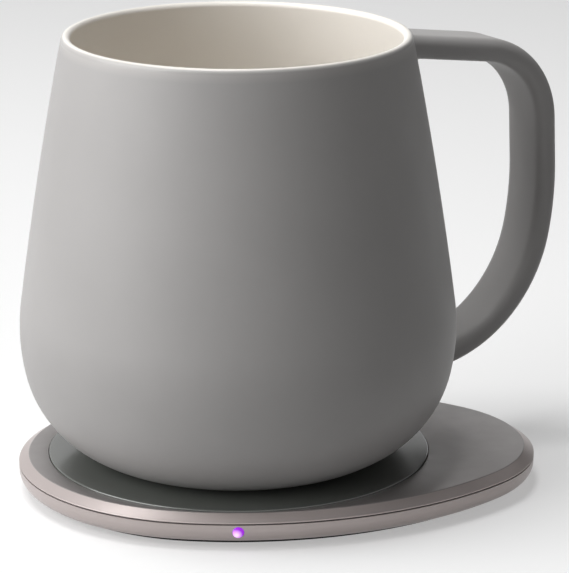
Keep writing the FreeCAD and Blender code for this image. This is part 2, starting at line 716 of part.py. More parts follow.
# Parts on the board's nose end.
keep(
    make_box(
        "controller_chip",
        ref("chip_size"),
        ref("chip_size"),
        ref("chip_height"),
        "(Sizes.nose_ahead + Sizes.chip_ahead)",
        "0",
        BOARD_TOP,
    )
)
drivers = []
capacitors = []
for side_name, side_sign in (("left", ""), ("right", "0 - ")):
    drivers.append(
        make_box(
            "driver_" + side_name,
            ref("driver_size"),
            ref("driver_size"),
            ref("driver_height"),
            "(Sizes.nose_ahead + Sizes.driver_ahead)",
            "(%sSizes.driver_side)" % side_sign,
            BOARD_TOP,
        )
    )
    for place in range(2):
        capacitors.append(
            make_box(
                "capacitor_%s_%d" % (side_name, place),
                ref("capacitor_length"),
                ref("capacitor_width"),
                ref("capacitor_height"),
                "(Sizes.nose_ahead + Sizes.capacitor_ahead)",
                "(%s(Sizes.capacitor_side + %d * Sizes.capacitor_pitch))" % (side_sign, place),
                BOARD_TOP,
            )
        )
keep(make_group("driver_chips", drivers))
keep(make_group("capacitors", capacitors))
coils = []
for side_name, side_sign in (("left", ""), ("right", "0 - ")):
    coils.append(
        make_box(
            "coil_" + side_name,
            ref("coil_size"),
            ref("coil_size"),
            ref("coil_height"),
            "(Sizes.nose_ahead + Sizes.coil_ahead)",
            "(%sSizes.coil_side)" % side_sign,
            BOARD_TOP,
        )
    )
keep(make_group("power_inductors", coils))

# Case screws: heads in the case floor, shanks up into the cover's bosses.
screws = []
HEAD_TOP = "(%s + Sizes.head_height + Sizes.head_sink)" % CASE_BASE
SHANK_LENGTH = "(%s + Sizes.thread_length - %s)" % (BOARD_TOP, HEAD_TOP)
for index, (post_x, post_y) in enumerate(POSTS, start=1):
    head = make_cylinder(
        "screw_head_%d" % index,
        ref("head_radius"),
        ref("head_height"),
        post_x,
        post_y,
        "%s + Sizes.head_sink" % CASE_BASE,
    )
    shank = make_cylinder(
        "screw_shank_%d" % index, ref("screw_radius"), SHANK_LENGTH, post_x, post_y, HEAD_TOP
    )
    screw = doc.addObject("Part::Fuse", "screw_%d" % index)
    screw.Base = head
    screw.Tool = shank
    screws.append(screw)
keep(make_group("case_screws", screws))


def circle_meeting(first, first_radius, second, second_radius, upper):
    # One of the two points at given distances from two centres.
    dx = second[0] - first[0]
    dy = second[1] - first[1]
    span = math.hypot(dx, dy)
    along = (first_radius ** 2 - second_radius ** 2 + span ** 2) / (2 * span)
    across = math.sqrt(first_radius ** 2 - along ** 2)
    if not upper:
        across = -across
    return (
        first[0] + (along * dx - across * dy) / span,
        first[1] + (along * dy + across * dx) / span,
    )


def angle_to(centre, point):
    return math.atan2(point[1] - centre[1], point[0] - centre[0])


BELLY_X = "(Sizes.mug_belly_radius - Sizes.mug_belly_arc)"
LIP_X = "(Sizes.mug_rim_radius - Sizes.mug_wall / 2)"
LIP_Y = "(Sizes.mug_height - Sizes.mug_wall / 2)"
wall = number(ref("mug_wall"))
glaze = number(ref("glaze_thick"))
side_arc = number(ref("mug_side_arc"))
belly_arc = number(ref("mug_belly_arc"))
low_arc = number(ref("mug_low_arc"))
foot_radius = number(ref("mug_foot_radius"))
belly_centre = (number(BELLY_X), number(ref("mug_belly_up")))
lip_centre = (number(LIP_X), number(LIP_Y))
side_centre = circle_meeting(belly_centre, side_arc - belly_arc, lip_centre, side_arc - wall / 2, True)
if side_centre[0] > belly_centre[0]:
    side_centre = circle_meeting(belly_centre, side_arc - belly_arc, lip_centre, side_arc - wall / 2, False)
low_centre = circle_meeting(belly_centre, belly_arc - low_arc, (foot_radius, 0.0), low_arc, True)
if low_centre[1] < 0:
    low_centre = circle_meeting(belly_centre, belly_arc - low_arc, (foot_radius, 0.0), low_arc, False)
side_tangent = angle_to(side_centre, belly_centre)
low_tangent = angle_to(belly_centre, low_centre)
lip_ray = angle_to(side_centre, lip_centre)


def height_angle(centre, radius, height):
    return math.asin((height - centre[1]) / radius)


def chain(sketch, elements, smooth):
    # Joins each element's end to the next one's start, smoothly where asked.
    count = len(elements)
    for index in range(count):
        here, here_end = elements[index]
        after, after_end = elements[(index + 1) % count]
        kind = "Tangent" if index in smooth else "Coincident"
        link(sketch, here, here_end, after, 3 - after_end, kind)


# Mug body: the ceramic wall with its foot ring. Its profile runs from the foot up the outside,
# steps in below the glaze at the lip and goes back down the inside.
mug = new_body("mug_body")
mug.setExpression("Placement.Base.z", GLASS_TOP)
profile = new_sketch(mug, "mug_profile", "XZ_Plane")
ring_inner = foot_radius - number(ref("foot_ring_width"))
ring_up = number(ref("foot_ring_height"))
floor_up = number(ref("mug_floor")) - glaze
edge_up = number(LIP_Y) - number(ref("glaze_drop"))
edge_outer = height_angle(side_centre, side_arc, edge_up)
edge_inner = height_angle(side_centre, side_arc - glaze, edge_up)
inner_side = side_arc - wall + glaze
inner_belly = belly_arc - wall + glaze
inner_low = low_arc - wall + glaze
floor_angle = -math.pi - height_angle(low_centre, inner_low, floor_up)
if math.cos(height_angle(low_centre, inner_low, floor_up)) > 0:
    floor_angle = height_angle(low_centre, inner_low, floor_up)


def on_circle(centre, radius, angle):
    return (centre[0] + radius * math.cos(angle), centre[1] + radius * math.sin(angle))


edge_out = on_circle(side_centre, side_arc, edge_outer)
edge_in = on_circle(side_centre, side_arc - glaze, edge_inner)
floor_point = on_circle(low_centre, inner_low, floor_angle)
g_foot = add_line(profile, (ring_inner, 0), (foot_radius, 0))
g_low = add_arc(profile, low_centre, low_arc, angle_to(low_centre, (foot_radius, 0.0)), low_tangent)
g_belly = add_arc(profile, belly_centre, belly_arc, low_tangent, side_tangent)
g_side = add_arc(profile, side_centre, side_arc, side_tangent, edge_outer)
g_step = add_line(profile, edge_out, edge_in)
g_rise = add_arc(profile, side_centre, side_arc - glaze, edge_inner, lip_ray)
g_lip = add_arc(profile, lip_centre, wall / 2 - glaze, lip_ray, lip_ray + math.pi)
g_in_side = add_arc(profile, side_centre, inner_side, side_tangent, lip_ray)
g_in_belly = add_arc(profile, belly_centre, inner_belly, low_tangent, side_tangent)
g_in_low = add_arc(profile, low_centre, inner_low, floor_angle, low_tangent)
g_floor = add_line(profile, floor_point, (0, floor_up))
g_axis = add_line(profile, (0, floor_up), (0, ring_up))
g_recess = add_line(profile, (0, ring_up), (ring_inner, ring_up))
g_ring = add_line(profile, (ring_inner, ring_up), (ring_inner, 0))
chain(
    profile,
    [
        (g_foot, 2), (g_low, 2), (g_belly, 2), (g_side, 2), (g_step, 2), (g_rise, 2), (g_lip, 2),
        (g_in_side, 1), (g_in_belly, 1), (g_in_low, 1), (g_floor, 2), (g_axis, 2), (g_recess, 2),
        (g_ring, 2),
    ],
    {1, 2, 5, 6, 7, 8},
)
for level in (g_foot, g_step, g_floor, g_recess):
    profile.addConstraint(Sketcher.Constraint("Horizontal", level))
for upright in (g_axis, g_ring):
    profile.addConstraint(Sketcher.Constraint("Vertical", upright))
link(profile, g_rise, 3, g_side, 3)
link(profile, g_in_side, 3, g_side, 3)
link(profile, g_in_belly, 3, g_belly, 3)
link(profile, g_in_low, 3, g_low, 3)
fix(profile, "Radius", (g_low,), ref("mug_low_arc"))
fix(profile, "Radius", (g_belly,), ref("mug_belly_arc"))
fix(profile, "Radius", (g_side,), ref("mug_side_arc"))
fix(profile, "Radius", (g_rise,), "Sizes.mug_side_arc - Sizes.glaze_thick")
fix(profile, "Radius", (g_in_side,), "Sizes.mug_side_arc - Sizes.mug_wall + Sizes.glaze_thick")
profile.addConstraint(Sketcher.Constraint("PointOnObject", g_axis, 1, -2))
profile.addConstraint(Sketcher.Constraint("PointOnObject", g_foot, 1, -1))
fix_y(profile, g_axis, 1, "(Sizes.mug_floor - Sizes.glaze_thick)")
fix_y(profile, g_axis, 2, ref("foot_ring_height"))
fix_x(profile, g_ring, 1, "(Sizes.mug_foot_radius - Sizes.foot_ring_width)")
fix_x(profile, g_foot, 2, ref("mug_foot_radius"))
fix_x(profile, g_belly, 3, BELLY_X)
fix_y(profile, g_belly, 3, ref("mug_belly_up"))
fix_x(profile, g_lip, 3, LIP_X)
fix_y(profile, g_lip, 3, LIP_Y)
fix_y(profile, g_side, 2, "(%s - Sizes.glaze_drop)" % LIP_Y)


def revolve(body, sketch, kind="PartDesign::Revolution"):
    feature = body.newObject(kind, sketch.Name + "_turn")
    feature.Profile = sketch
    feature.ReferenceAxis = (sketch, ["V_Axis"])
    feature.Angle = 360
    return feature


revolve(mug, profile)
keep(mug)

# Glaze: the cream lining of the inside, over the lip and a little way down the outside.
lining = new_body("inner_glaze")
lining.setExpression("Placement.Base.z", GLASS_TOP)
coat = new_sketch(lining, "glaze_profile", "XZ_Plane")
floor_top = number(ref("mug_floor"))
top_floor_angle = height_angle(low_centre, low_arc - wall, floor_top)
top_floor_point = on_circle(low_centre, low_arc - wall, top_floor_angle)
c_edge = add_line(coat, edge_in, edge_out)
c_rise = add_arc(coat, side_centre, side_arc, edge_outer, lip_ray)
c_lip = add_arc(coat, lip_centre, wall / 2, lip_ray, lip_ray + math.pi)
c_side = add_arc(coat, side_centre, side_arc - wall, side_tangent, lip_ray)
c_belly = add_arc(coat, belly_centre, belly_arc - wall, low_tangent, side_tangent)
c_low = add_arc(coat, low_centre, low_arc - wall, top_floor_angle, low_tangent)
c_floor = add_line(coat, top_floor_point, (0, floor_top))
c_axis = add_line(coat, (0, floor_top), (0, floor_up))
c_under = add_line(coat, (0, floor_up), floor_point)
c_back_low = add_arc(coat, low_centre, inner_low, floor_angle, low_tangent)
c_back_belly = add_arc(coat, belly_centre, inner_belly, low_tangent, side_tangent)
c_back_side = add_arc(coat, side_centre, inner_side, side_tangent, lip_ray)
c_back_lip = add_arc(coat, lip_centre, wall / 2 - glaze, lip_ray, lip_ray + math.pi)
c_back_rise = add_arc(coat, side_centre, side_arc - glaze, edge_inner, lip_ray)
c_guide = coat.addGeometry(
    Part.Circle(vector(*low_centre), FreeCAD.Vector(0, 0, 1), low_arc), True
)
c_foot = coat.addGeometry(Part.Point(vector(foot_radius, 0)), True)
chain(
    coat,
    [
        (c_edge, 2), (c_rise, 2), (c_lip, 2), (c_side, 1), (c_belly, 1), (c_low, 1), (c_floor, 2),
        (c_axis, 2), (c_under, 2), (c_back_low, 2), (c_back_belly, 2), (c_back_side, 2),
        (c_back_lip, 1), (c_back_rise, 1),
    ],
    {1, 2, 3, 4, 9, 10, 11, 12},
)
for level in (c_edge, c_floor, c_under):
    coat.addConstraint(Sketcher.Constraint("Horizontal", level))
coat.addConstraint(Sketcher.Constraint("Vertical", c_axis))
link(coat, c_rise, 3, c_side, 3)
link(coat, c_back_rise, 3, c_side, 3)
link(coat, c_back_side, 3, c_side, 3)
link(coat, c_back_belly, 3, c_belly, 3)
link(coat, c_back_low, 3, c_low, 3)
link(coat, c_guide, 3, c_low, 3)
fix(coat, "Radius", (c_guide,), ref("mug_low_arc"))
fix_x(coat, c_foot, 1, ref("mug_foot_radius"))
coat.addConstraint(Sketcher.Constraint("PointOnObject", c_foot, 1, -1))
coat.addConstraint(Sketcher.Constraint("PointOnObject", c_foot, 1, c_guide))
fix(coat, "Radius", (c_rise,), ref("mug_side_arc"))
fix(coat, "Radius", (c_side,), "Sizes.mug_side_arc - Sizes.mug_wall")
fix(coat, "Radius", (c_belly,), "Sizes.mug_belly_arc - Sizes.mug_wall")
fix(coat, "Radius", (c_low,), "Sizes.mug_low_arc - Sizes.mug_wall")
fix(coat, "Radius", (c_back_side,), "Sizes.mug_side_arc - Sizes.mug_wall + Sizes.glaze_thick")
fix(coat, "Radius", (c_back_rise,), "Sizes.mug_side_arc - Sizes.glaze_thick")
coat.addConstraint(Sketcher.Constraint("PointOnObject", c_axis, 1, -2))
fix_y(coat, c_axis, 1, ref("mug_floor"))
fix_y(coat, c_axis, 2, "(Sizes.mug_floor - Sizes.glaze_thick)")
fix_x(coat, c_belly, 3, BELLY_X)
fix_y(coat, c_belly, 3, ref("mug_belly_up"))
fix_x(coat, c_lip, 3, LIP_X)
fix_y(coat, c_lip, 3, LIP_Y)
fix_y(coat, c_back_lip, 3, LIP_Y)
fix_y(coat, c_edge, 2, "(%s - Sizes.glaze_drop)" % LIP_Y)
revolve(lining, coat)
keep(lining)


def outer_profile(sketch, grow="0"):
    # The mug's whole outside, closed along the axis and grown evenly by a small gap.
    gap = number(grow)
    base_y = -gap
    top_y = number(ref("mug_height")) + gap
    base_angle = height_angle(low_centre, low_arc + gap, base_y)
    top_angle = height_angle(side_centre, side_arc + gap, top_y)
    base_point = on_circle(low_centre, low_arc + gap, base_angle)
    top_point = on_circle(side_centre, side_arc + gap, top_angle)
    base = add_line(sketch, (0, base_y), base_point)
    low = add_arc(sketch, low_centre, low_arc + gap, base_angle, low_tangent)
    belly = add_arc(sketch, belly_centre, belly_arc + gap, low_tangent, side_tangent)
    side = add_arc(sketch, side_centre, side_arc + gap, side_tangent, top_angle)
    top = add_line(sketch, top_point, (0, top_y))
    axis = add_line(sketch, (0, top_y), (0, base_y))
    chain(sketch, [(base, 2), (low, 2), (belly, 2), (side, 2), (top, 2), (axis, 2)], {1, 2})
    ray = sketch.addGeometry(
        Part.Circle(vector(*side_centre), FreeCAD.Vector(0, 0, 1), side_arc - wall / 2), True
    )
    mark = sketch.addGeometry(Part.Point(vector(*lip_centre)), True)
    sole = sketch.addGeometry(
        Part.Circle(vector(*low_centre), FreeCAD.Vector(0, 0, 1), low_arc), True
    )
    heel = sketch.addGeometry(Part.Point(vector(foot_radius, 0)), True)
    sketch.addConstraint(Sketcher.Constraint("Horizontal", base))
    sketch.addConstraint(Sketcher.Constraint("Horizontal", top))
    sketch.addConstraint(Sketcher.Constraint("Vertical", axis))
    sketch.addConstraint(Sketcher.Constraint("PointOnObject", base, 1, -2))
    fix_y(sketch, base, 1, "(0 - %s)" % grow)
    link(sketch, ray, 3, side, 3)
    fix(sketch, "Radius", (ray,), "Sizes.mug_side_arc - Sizes.mug_wall / 2")
    fix_x(sketch, mark, 1, LIP_X)
    fix_y(sketch, mark, 1, LIP_Y)
    sketch.addConstraint(Sketcher.Constraint("PointOnObject", mark, 1, ray))
    link(sketch, sole, 3, low, 3)
    fix(sketch, "Radius", (sole,), ref("mug_low_arc"))
    fix_x(sketch, heel, 1, ref("mug_foot_radius"))
    sketch.addConstraint(Sketcher.Constraint("PointOnObject", heel, 1, -1))
    sketch.addConstraint(Sketcher.Constraint("PointOnObject", heel, 1, sole))
    fix(sketch, "Radius", (low,), "Sizes.mug_low_arc + %s" % grow)
    fix(sketch, "Radius", (belly,), "Sizes.mug_belly_arc + %s" % grow)
    fix(sketch, "Radius", (side,), "Sizes.mug_side_arc + %s" % grow)
    fix_x(sketch, belly, 3, BELLY_X)
    fix_y(sketch, belly, 3, ref("mug_belly_up"))
    fix_y(sketch, axis, 1, "(Sizes.mug_height + %s)" % grow)


# Handle: a rounded strap swept along its path, flared into the mug where it meets the wall. The
# mug's outside is drawn first, so that the flare can blend into it, and is then taken away.
handle = new_body("mug_handle")
handle.setExpression("Placement.Base.z", GLASS_TOP)
handle.Placement.Rotation = FreeCAD.Rotation(FreeCAD.Vector(0, 0, 1), number(ref("handle_turn")))
handle.setExpression("Placement.Rotation.Angle", "Sizes.handle_turn * 1 deg")
blank = new_sketch(handle, "mug_outside", "YZ_Plane")
outer_profile(blank)
mug_blank = revolve(handle, blank)

path = new_sketch(handle, "handle_path", "XZ_Plane")
heading = -math.radians(number(ref("handle_slope")))
spot = (number(HANDLE_START), number(HANDLE_TOP))


def path_line(length):
    global spot
    end = (spot[0] + length * math.cos(heading), spot[1] + length * math.sin(heading))
    element = add_line(path, spot, end)
    spot = end
    return element


def path_arc(radius, sweep):
    # A right-hand bend: its centre lies to the right of the heading.
    global spot, heading
    centre = (spot[0] + radius * math.sin(heading), spot[1] - radius * math.cos(heading))
    start = angle_to(centre, spot)
    element = add_arc(path, centre, radius, start - sweep, start)
    heading -= sweep
    spot = on_circle(centre, radius, start - sweep)
    return element


p_top = path_line(number(TOP_RUN))
p_bend = path_arc(number(ref("handle_top_arc")), math.radians(number(ref("handle_top_sweep"))))
p_grip = path_line(number(GRIP_RUN))
p_mid = path_arc(number(ref("handle_mid_arc")), math.radians(number(ref("handle_mid_sweep"))))
p_low = path_arc(number(ref("handle_low_arc")), math.radians(number(ref("handle_low_sweep"))))
p_root = path_line(number(ref("handle_low_run")))
link(path, p_top, 2, p_bend, 2, "Tangent")
link(path, p_bend, 1, p_grip, 1, "Tangent")
link(path, p_grip, 2, p_mid, 2, "Tangent")
link(path, p_mid, 1, p_low, 2, "Tangent")
link(path, p_low, 1, p_root, 1, "Tangent")
fix_x(path, p_top, 1, HANDLE_START)
fix_y(path, p_top, 1, HANDLE_TOP)
fix(path, "Angle", (p_top,), "0 - Sizes.handle_slope")
fix(path, "Distance", (p_top,), TOP_RUN)
fix(path, "Radius", (p_bend,), ref("handle_top_arc"))
fix(path, "Distance", (p_grip,), GRIP_RUN)
fix(path, "Radius", (p_mid,), ref("handle_mid_arc"))
fix(path, "Radius", (p_low,), ref("handle_low_arc"))
fix(path, "Angle", (p_bend,), ref("handle_top_sweep"))
fix(path, "Angle", (p_mid,), ref("handle_mid_sweep"))
fix(path, "Angle", (p_low,), ref("handle_low_sweep"))
fix(path, "Distance", (p_root,), ref("handle_low_run"))

section = handle.newObject("Sketcher::SketchObject", "handle_section")
section.AttachmentSupport = [(path, "Edge1")]
section.MapMode = "NormalToEdge"
section.setExpression("MapPathParameter", "0")
add_rounded_rectangle(section, ref("handle_width"), ref("handle_thick"), ref("handle_round"), "0", "0")
doc.recompute()
strap = handle.newObject("PartDesign::AdditivePipe", "handle_strap")
strap.Profile = section
strap.Spine = path
doc.recompute()


def root_edges(shape):
    # Edges where the strap meets the mug's outside: they lie on the blank and within the strap's width.
    names = []
    skin = mug_blank.Shape.Faces
    reach = number(ref("handle_width")) / 2 + 0.01
    turn_back = handle.Placement.inverse()
    for index, edge in enumerate(shape.Edges, start=1):
        middle = edge.valueAt((edge.FirstParameter + edge.LastParameter) / 2)
        if middle.x < 0 or abs(middle.y) > reach:
            continue
        if min(face.distToShape(Part.Vertex(middle))[0] for face in skin) < 1e-4:
            names.append("Edge%d" % index)
    return names


fillet(handle, strap, root_edges(strap.Shape), ref("handle_root_round"))
doc.recompute()
cutter = new_sketch(handle, "mug_cutter", "YZ_Plane")
outer_profile(cutter, ref("root_gap"))
revolve(handle, cutter, "PartDesign::Groove")
keep(handle)


doc.recompute()

failed = []
for item in doc.Objects:
    if "Invalid" in item.State or "Error" in item.State:
        failed.append(item.Name)
for item in parts:
    if item.Shape.isNull() or not item.Shape.isValid():
        failed.append(item.Name)
if failed:
    raise ValueError("failed: " + ", ".join(failed))

os.makedirs("parts", exist_ok=True)
for item in parts:
    item.Shape.exportStep(os.path.join("parts", item.Label + ".step"))
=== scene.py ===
import math

import bmesh
import bpy
import numpy as np
from bpy.props import FloatProperty, FloatVectorProperty, PointerProperty
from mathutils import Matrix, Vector


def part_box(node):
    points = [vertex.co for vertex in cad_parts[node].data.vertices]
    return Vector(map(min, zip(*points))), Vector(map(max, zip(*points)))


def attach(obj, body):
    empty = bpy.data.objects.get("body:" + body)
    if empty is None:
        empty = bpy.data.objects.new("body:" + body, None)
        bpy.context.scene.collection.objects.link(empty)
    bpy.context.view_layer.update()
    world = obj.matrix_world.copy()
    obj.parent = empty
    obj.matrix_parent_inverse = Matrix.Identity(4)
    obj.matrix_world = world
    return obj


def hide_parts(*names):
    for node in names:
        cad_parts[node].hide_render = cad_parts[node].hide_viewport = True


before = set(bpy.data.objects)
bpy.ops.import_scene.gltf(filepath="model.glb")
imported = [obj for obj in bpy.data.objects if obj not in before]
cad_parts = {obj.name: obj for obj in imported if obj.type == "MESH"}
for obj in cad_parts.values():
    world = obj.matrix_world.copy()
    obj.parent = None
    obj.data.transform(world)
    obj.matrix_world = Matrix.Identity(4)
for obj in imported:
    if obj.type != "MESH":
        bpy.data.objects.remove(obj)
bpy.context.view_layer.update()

bl_info = {
    "name": "Electric mug warmer",
    "version": (1, 0, 0),
    "blender": (4, 5, 0),
    "location": "View3D > Sidebar > Mug Warmer",
    "description": "Finishes the oval warming pad and its ceramic mug around the packed solids",
    "category": "Object",
}

MM = 0.001

# How finely each piece is divided: round a turned piece, along an arc or a run, round a corner.
OUTLINE_STEPS = 360
MUG_STEPS = 288
GLASS_STEPS = 360
LENS_STEPS = 64
LENS_DOME_STEPS = 12
ROOT_STEPS = 14
TIGHT_BEND_STEPS = 44
WIDE_BEND_STEPS = 20
GRIP_STEPS = 8
CORNER_STEPS = 11
THICK_STEPS = 2
WIDE_STEPS = 9
GLASS_EDGE_STEPS = 7
# Divisions of the mug's wall, along the bowl, the belly and the side.
OUTSIDE_STEPS = (34, 30, 60)
INSIDE_STEPS = (14, 22, 50)
LINING_STEPS = (30, 30, 60)
# Divisions of the lip, of the face under it, and of the lining's short edge on the two.
LIP_STEPS = 26
LIP_SEAT_STEPS = 12
EDGE_STEPS = 4
EDGE_SEAT_STEPS = 3

# Points nearer than this are one point, and a smaller radius lies on the axis.
SAME_PLACE = 1e-7

FOOT_ROUND = 0.5 * MM
LENS_DOME = 0.45 * MM

# The strap's root: how far inwards its meeting with the wall is sought, how often that stretch is
# halved, the reach over which the wall's slope is taken, and how deep the flare's foot is sunk.
WALL_SEARCH = 30 * MM
WALL_HALVINGS = 50
SLOPE_REACH = 0.01 * MM
ROOT_SINK = 0.04 * MM
ACROSS = np.array([0.0, 1.0, 0.0])

# The lit lens's glow and the painted highlight on it: the pale spot's place and reach, as shares of
# the lens's radius.
HIGHLIGHT_ASIDE = 0.35
HIGHLIGHT_DOWN = 0.45
HIGHLIGHT_REACH = 1.4

# The stage: the square floor's half width, where the lamps aim, and the camera's fixed settings.
FLOOR_REACH = 4.0
LAMP_AIM = Vector((0.0, 0.0, 0.04))
SENSOR_WIDTH = 36.0
CLIP_START = 0.01
CLIP_END = 50.0
CARD_COLOUR = (0.02, 0.02, 0.02, 1.0)


def length(name, description, millimetres):
    return FloatProperty(
        name=name, description=description, default=millimetres * MM, unit="LENGTH", precision=5
    )


def angle(name, description, degrees):
    return FloatProperty(
        name=name, description=description, default=math.radians(degrees), subtype="ANGLE"
    )


def colour(name, description, red, green, blue):
    return FloatVectorProperty(
        name=name, description=description, default=(red, green, blue), subtype="COLOR",
        size=3, min=0.0, max=1.0,
    )


def strength(name, description, value):
    return FloatProperty(name=name, description=description, default=value, subtype="FACTOR",
                         min=0.0, max=1.0)


def power(name, description, watts):
    return FloatProperty(name=name, description=description, default=watts, unit="POWER")


class PadSizes(bpy.types.PropertyGroup):
    """Sizes of the pad's outline, cover and glass."""

    tail_radius: length("Tail radius", "Radius of the outline's tail round the glass", 41.9)
    tail_back: length("Tail centre", "How far the tail's centre lies behind the glass's", 4.9)
    side_radius: length("Side radius", "Radius of the two long sides", 73.5)
    nose_radius: length("Nose radius", "Radius of the rounded nose", 32.0)
    nose_ahead: length("Nose centre", "How far the nose's centre lies ahead of the glass's", 31.4)
    cover_base: length("Cover base", "Height of the cover's lower edge above the floor", 5.85)
    cover_top: length("Cover top", "Height of the cover's flat top above the floor", 7.6)
    edge_land: length("Edge land", "Height of the cover's upright edge", 0.25)
    slope_run: length("Slope run", "Width of the sloped edge seen from above", 2.2)
    seat_top: length("Ledge height", "Height of the ledge that carries the glass", 6.75)
    edge_round: length("Edge rounding", "Width of the small bevels on the cover's edges", 0.14)
    rim_land: length("Rim land", "Least flat width between the sloped edge and the glass", 0.35)
    glass_gap: length("Glass gap", "Gap round the glass plate", 0.1)
    glass_base: length("Glass underside", "Height of the glass plate's underside", 6.9)
    glass_top: length("Glass top", "Height of the glass plate's top face", 7.9)
    glass_round: length("Glass edge", "Width of the polished bevel on the glass plate's edge", 0.28)
    ledge_width: length("Ledge width", "Width of the ledge under the glass's edge", 4.0)


class MugSizes(bpy.types.PropertyGroup):
    """Sizes of the mug, measured from its foot."""

    foot_height: length("Foot height", "Height of the mug's foot above the floor", 7.9)
    height: length("Height", "Height of the mug from foot to rim", 89.5)
    rim_radius: length("Rim radius", "Outer radius at the rim", 36.3)
    side_arc: length("Side curve", "Radius of the long side's slight curve", 900.0)
    belly_radius: length("Belly radius", "Outer radius at the widest point", 46.0)
    belly_up: length("Belly height", "Height of the widest point above the foot", 27.2)
    belly_arc: length("Belly curve", "Radius of the belly's curve", 42.0)
    low_arc: length("Bowl curve", "Radius of the curve below the belly", 24.0)
    foot_radius: length("Foot radius", "Outer radius of the foot", 28.3)
    wall: length("Wall", "Thickness of the wall", 2.0)
    floor: length("Floor", "Thickness of the floor", 5.5)
    ring_width: length("Foot ring width", "Width of the foot ring", 3.5)
    ring_height: length("Foot ring height", "Height of the foot ring", 1.2)
    glaze: length("Glaze thickness", "Thickness of the cream lining", 0.35)
    glaze_drop: length("Glaze edge", "Depth of the lining's outer edge below the lip's centre", 0.2)


class HandleSizes(bpy.types.PropertyGroup):
    """Sizes of the strap handle and its path: a line, an arc, a line, two arcs and a line."""

    turn: angle("Turn", "Direction of the handle about the mug's axis, from the nose", 25.4)
    width: length("Width", "Width of the strap", 13.0)
    thickness: length("Thickness", "Thickness of the strap", 5.1)
    rounding: length("Rounding", "Radius of the strap's corners", 2.2)
    start: length("Start", "How far within the rim's radius the path starts", 4.0)
    top: length("Top", "How far below the rim the path starts", 5.2)
    slope: angle("Slope", "Fall of the strap's top run", 8.3)
    top_run: length("Top run", "How far beyond the belly's radius the top run ends", 14.7)
    top_arc: length("Top bend", "Radius of the top bend", 17.5)
    top_sweep: angle("Top sweep", "Angle of the top bend", 79.4)
    mid_arc: length("Grip curve", "Radius of the curve below the grip", 64.4)
    mid_sweep: angle("Grip sweep", "Angle of the curve below the grip", 14.1)
    low_arc: length("Low bend", "Radius of the low bend", 31.0)
    low_sweep: angle("Low sweep", "Angle of the low bend", 75.0)
    low_run: length("Low run", "Length of the straight run into the bowl", 12.0)
    low: length("Low end", "How far below the belly the path ends", 14.7)
    root_round: length("Root flare", "Radius of the flare where the strap meets the wall", 4.0)


class Finishes(bpy.types.PropertyGroup):
    """Colours of the visible finishes."""

    mug_grey: colour("Mug glaze", "Warm grey matt glaze outside", 0.42, 0.408, 0.402)
    cream: colour("Cream glaze", "Cream glaze inside and on the lip", 0.93, 0.89, 0.83)
    cover_grey: colour("Cover", "Satin warm grey of the cover's flat top", 0.31, 0.29, 0.285)
    edge_pink: colour("Edge", "Pinkish satin metal of the slope and the band", 0.50, 0.44, 0.425)
    glass: colour("Glass", "Body colour of the dark glass", 0.12, 0.128, 0.117)
    gasket: colour("Gasket", "Dark grey rubber of the seam", 0.06, 0.052, 0.052)
    lamp: colour("Lamp", "Violet light of the indicator", 0.30, 0.008, 0.62)
    # Painted highlight: the pale spot on the glowing lens, low on one side.
    lamp_highlight: colour("Lamp heart", "Pale middle of the lit indicator", 1.0, 0.62, 1.0)


class StageSettings(bpy.types.PropertyGroup):
    """Camera and light of the studio."""

    camera_away: length("Camera distance", "Distance over the floor from the mug's axis", 630.06)
    camera_up: length("Camera height", "Height of the camera above the floor", 224.0)
    camera_turn: angle("Camera side", "Turn of the camera's place from straight in front", 5.67)
    camera_pitch: angle("Camera pitch", "How far the camera looks down", 16.01)
    camera_heading: angle("Camera heading", "Turn of the view from straight ahead", 6.556)
    lens: FloatProperty(
        name="Lens", description="Focal length in millimetres", default=195.72, unit="CAMERA"
    )
    key: power("Key light", "Power of the large lamp on the left", 7.6)
    top: power("Top light", "Power of the soft lamp above", 5.2)
    rim: power("Rim light", "Power of the weak lamp on the right", 0.25)
    ambient: strength("Ambient", "Level of the studio's even light", 0.05)
    floor_shade: strength("Floor shade", "Share of the floor that keeps light and shadow", 0.62)
    floor_bounce: strength("Floor bounce", "Paleness of the floor for light it throws back", 0.42)


def finish_mesh(name, vertices, faces, sharp=35.0):
    """Makes a linked object; edges that turn by more than sharp degrees stay crisp."""
    mesh = bpy.data.meshes.new(name)
    mesh.from_pydata([tuple(v) for v in vertices], [], faces)
    mesh.validate()
    cleaned = bmesh.new()
    cleaned.from_mesh(mesh)
    bmesh.ops.remove_doubles(cleaned, verts=cleaned.verts, dist=SAME_PLACE)
    bmesh.ops.recalc_face_normals(cleaned, faces=cleaned.faces)
    cleaned.to_mesh(mesh)
    cleaned.free()
    mesh.shade_smooth()
    mesh.set_sharp_from_angle(angle=math.radians(sharp))
    piece = bpy.data.objects.new(name, mesh)
    bpy.context.scene.collection.objects.link(piece)
    return piece


def flat_square(name, half):
    corners = [(-half, -half, 0), (half, -half, 0), (half, half, 0), (-half, half, 0)]
    return finish_mesh(name, corners, [(0, 1, 2, 3)])


def ring_stack(rings, closed):
    """Vertices and faces of a stack of equal rings; a ring of one point is a pole."""
    vertices = []
    starts = []
    for ring in rings:
        starts.append(len(vertices))
        vertices.extend(ring)
    faces = []
    pairs = list(zip(range(len(rings)), range(1, len(rings))))
    if closed:
        pairs.append((len(rings) - 1, 0))
    for here, after in pairs:
        a, b = starts[here], starts[after]
        count_a, count_b = len(rings[here]), len(rings[after])
        steps = max(count_a, count_b)
        for i in range(steps):
            j = (i + 1) % steps
            if count_a == 1:
                faces.append((a, b + i, b + j))
            elif count_b == 1:
                faces.append((a + i, a + j, b))
            else:
                faces.append((a + i, a + j, b + j, b + i))
    return vertices, faces


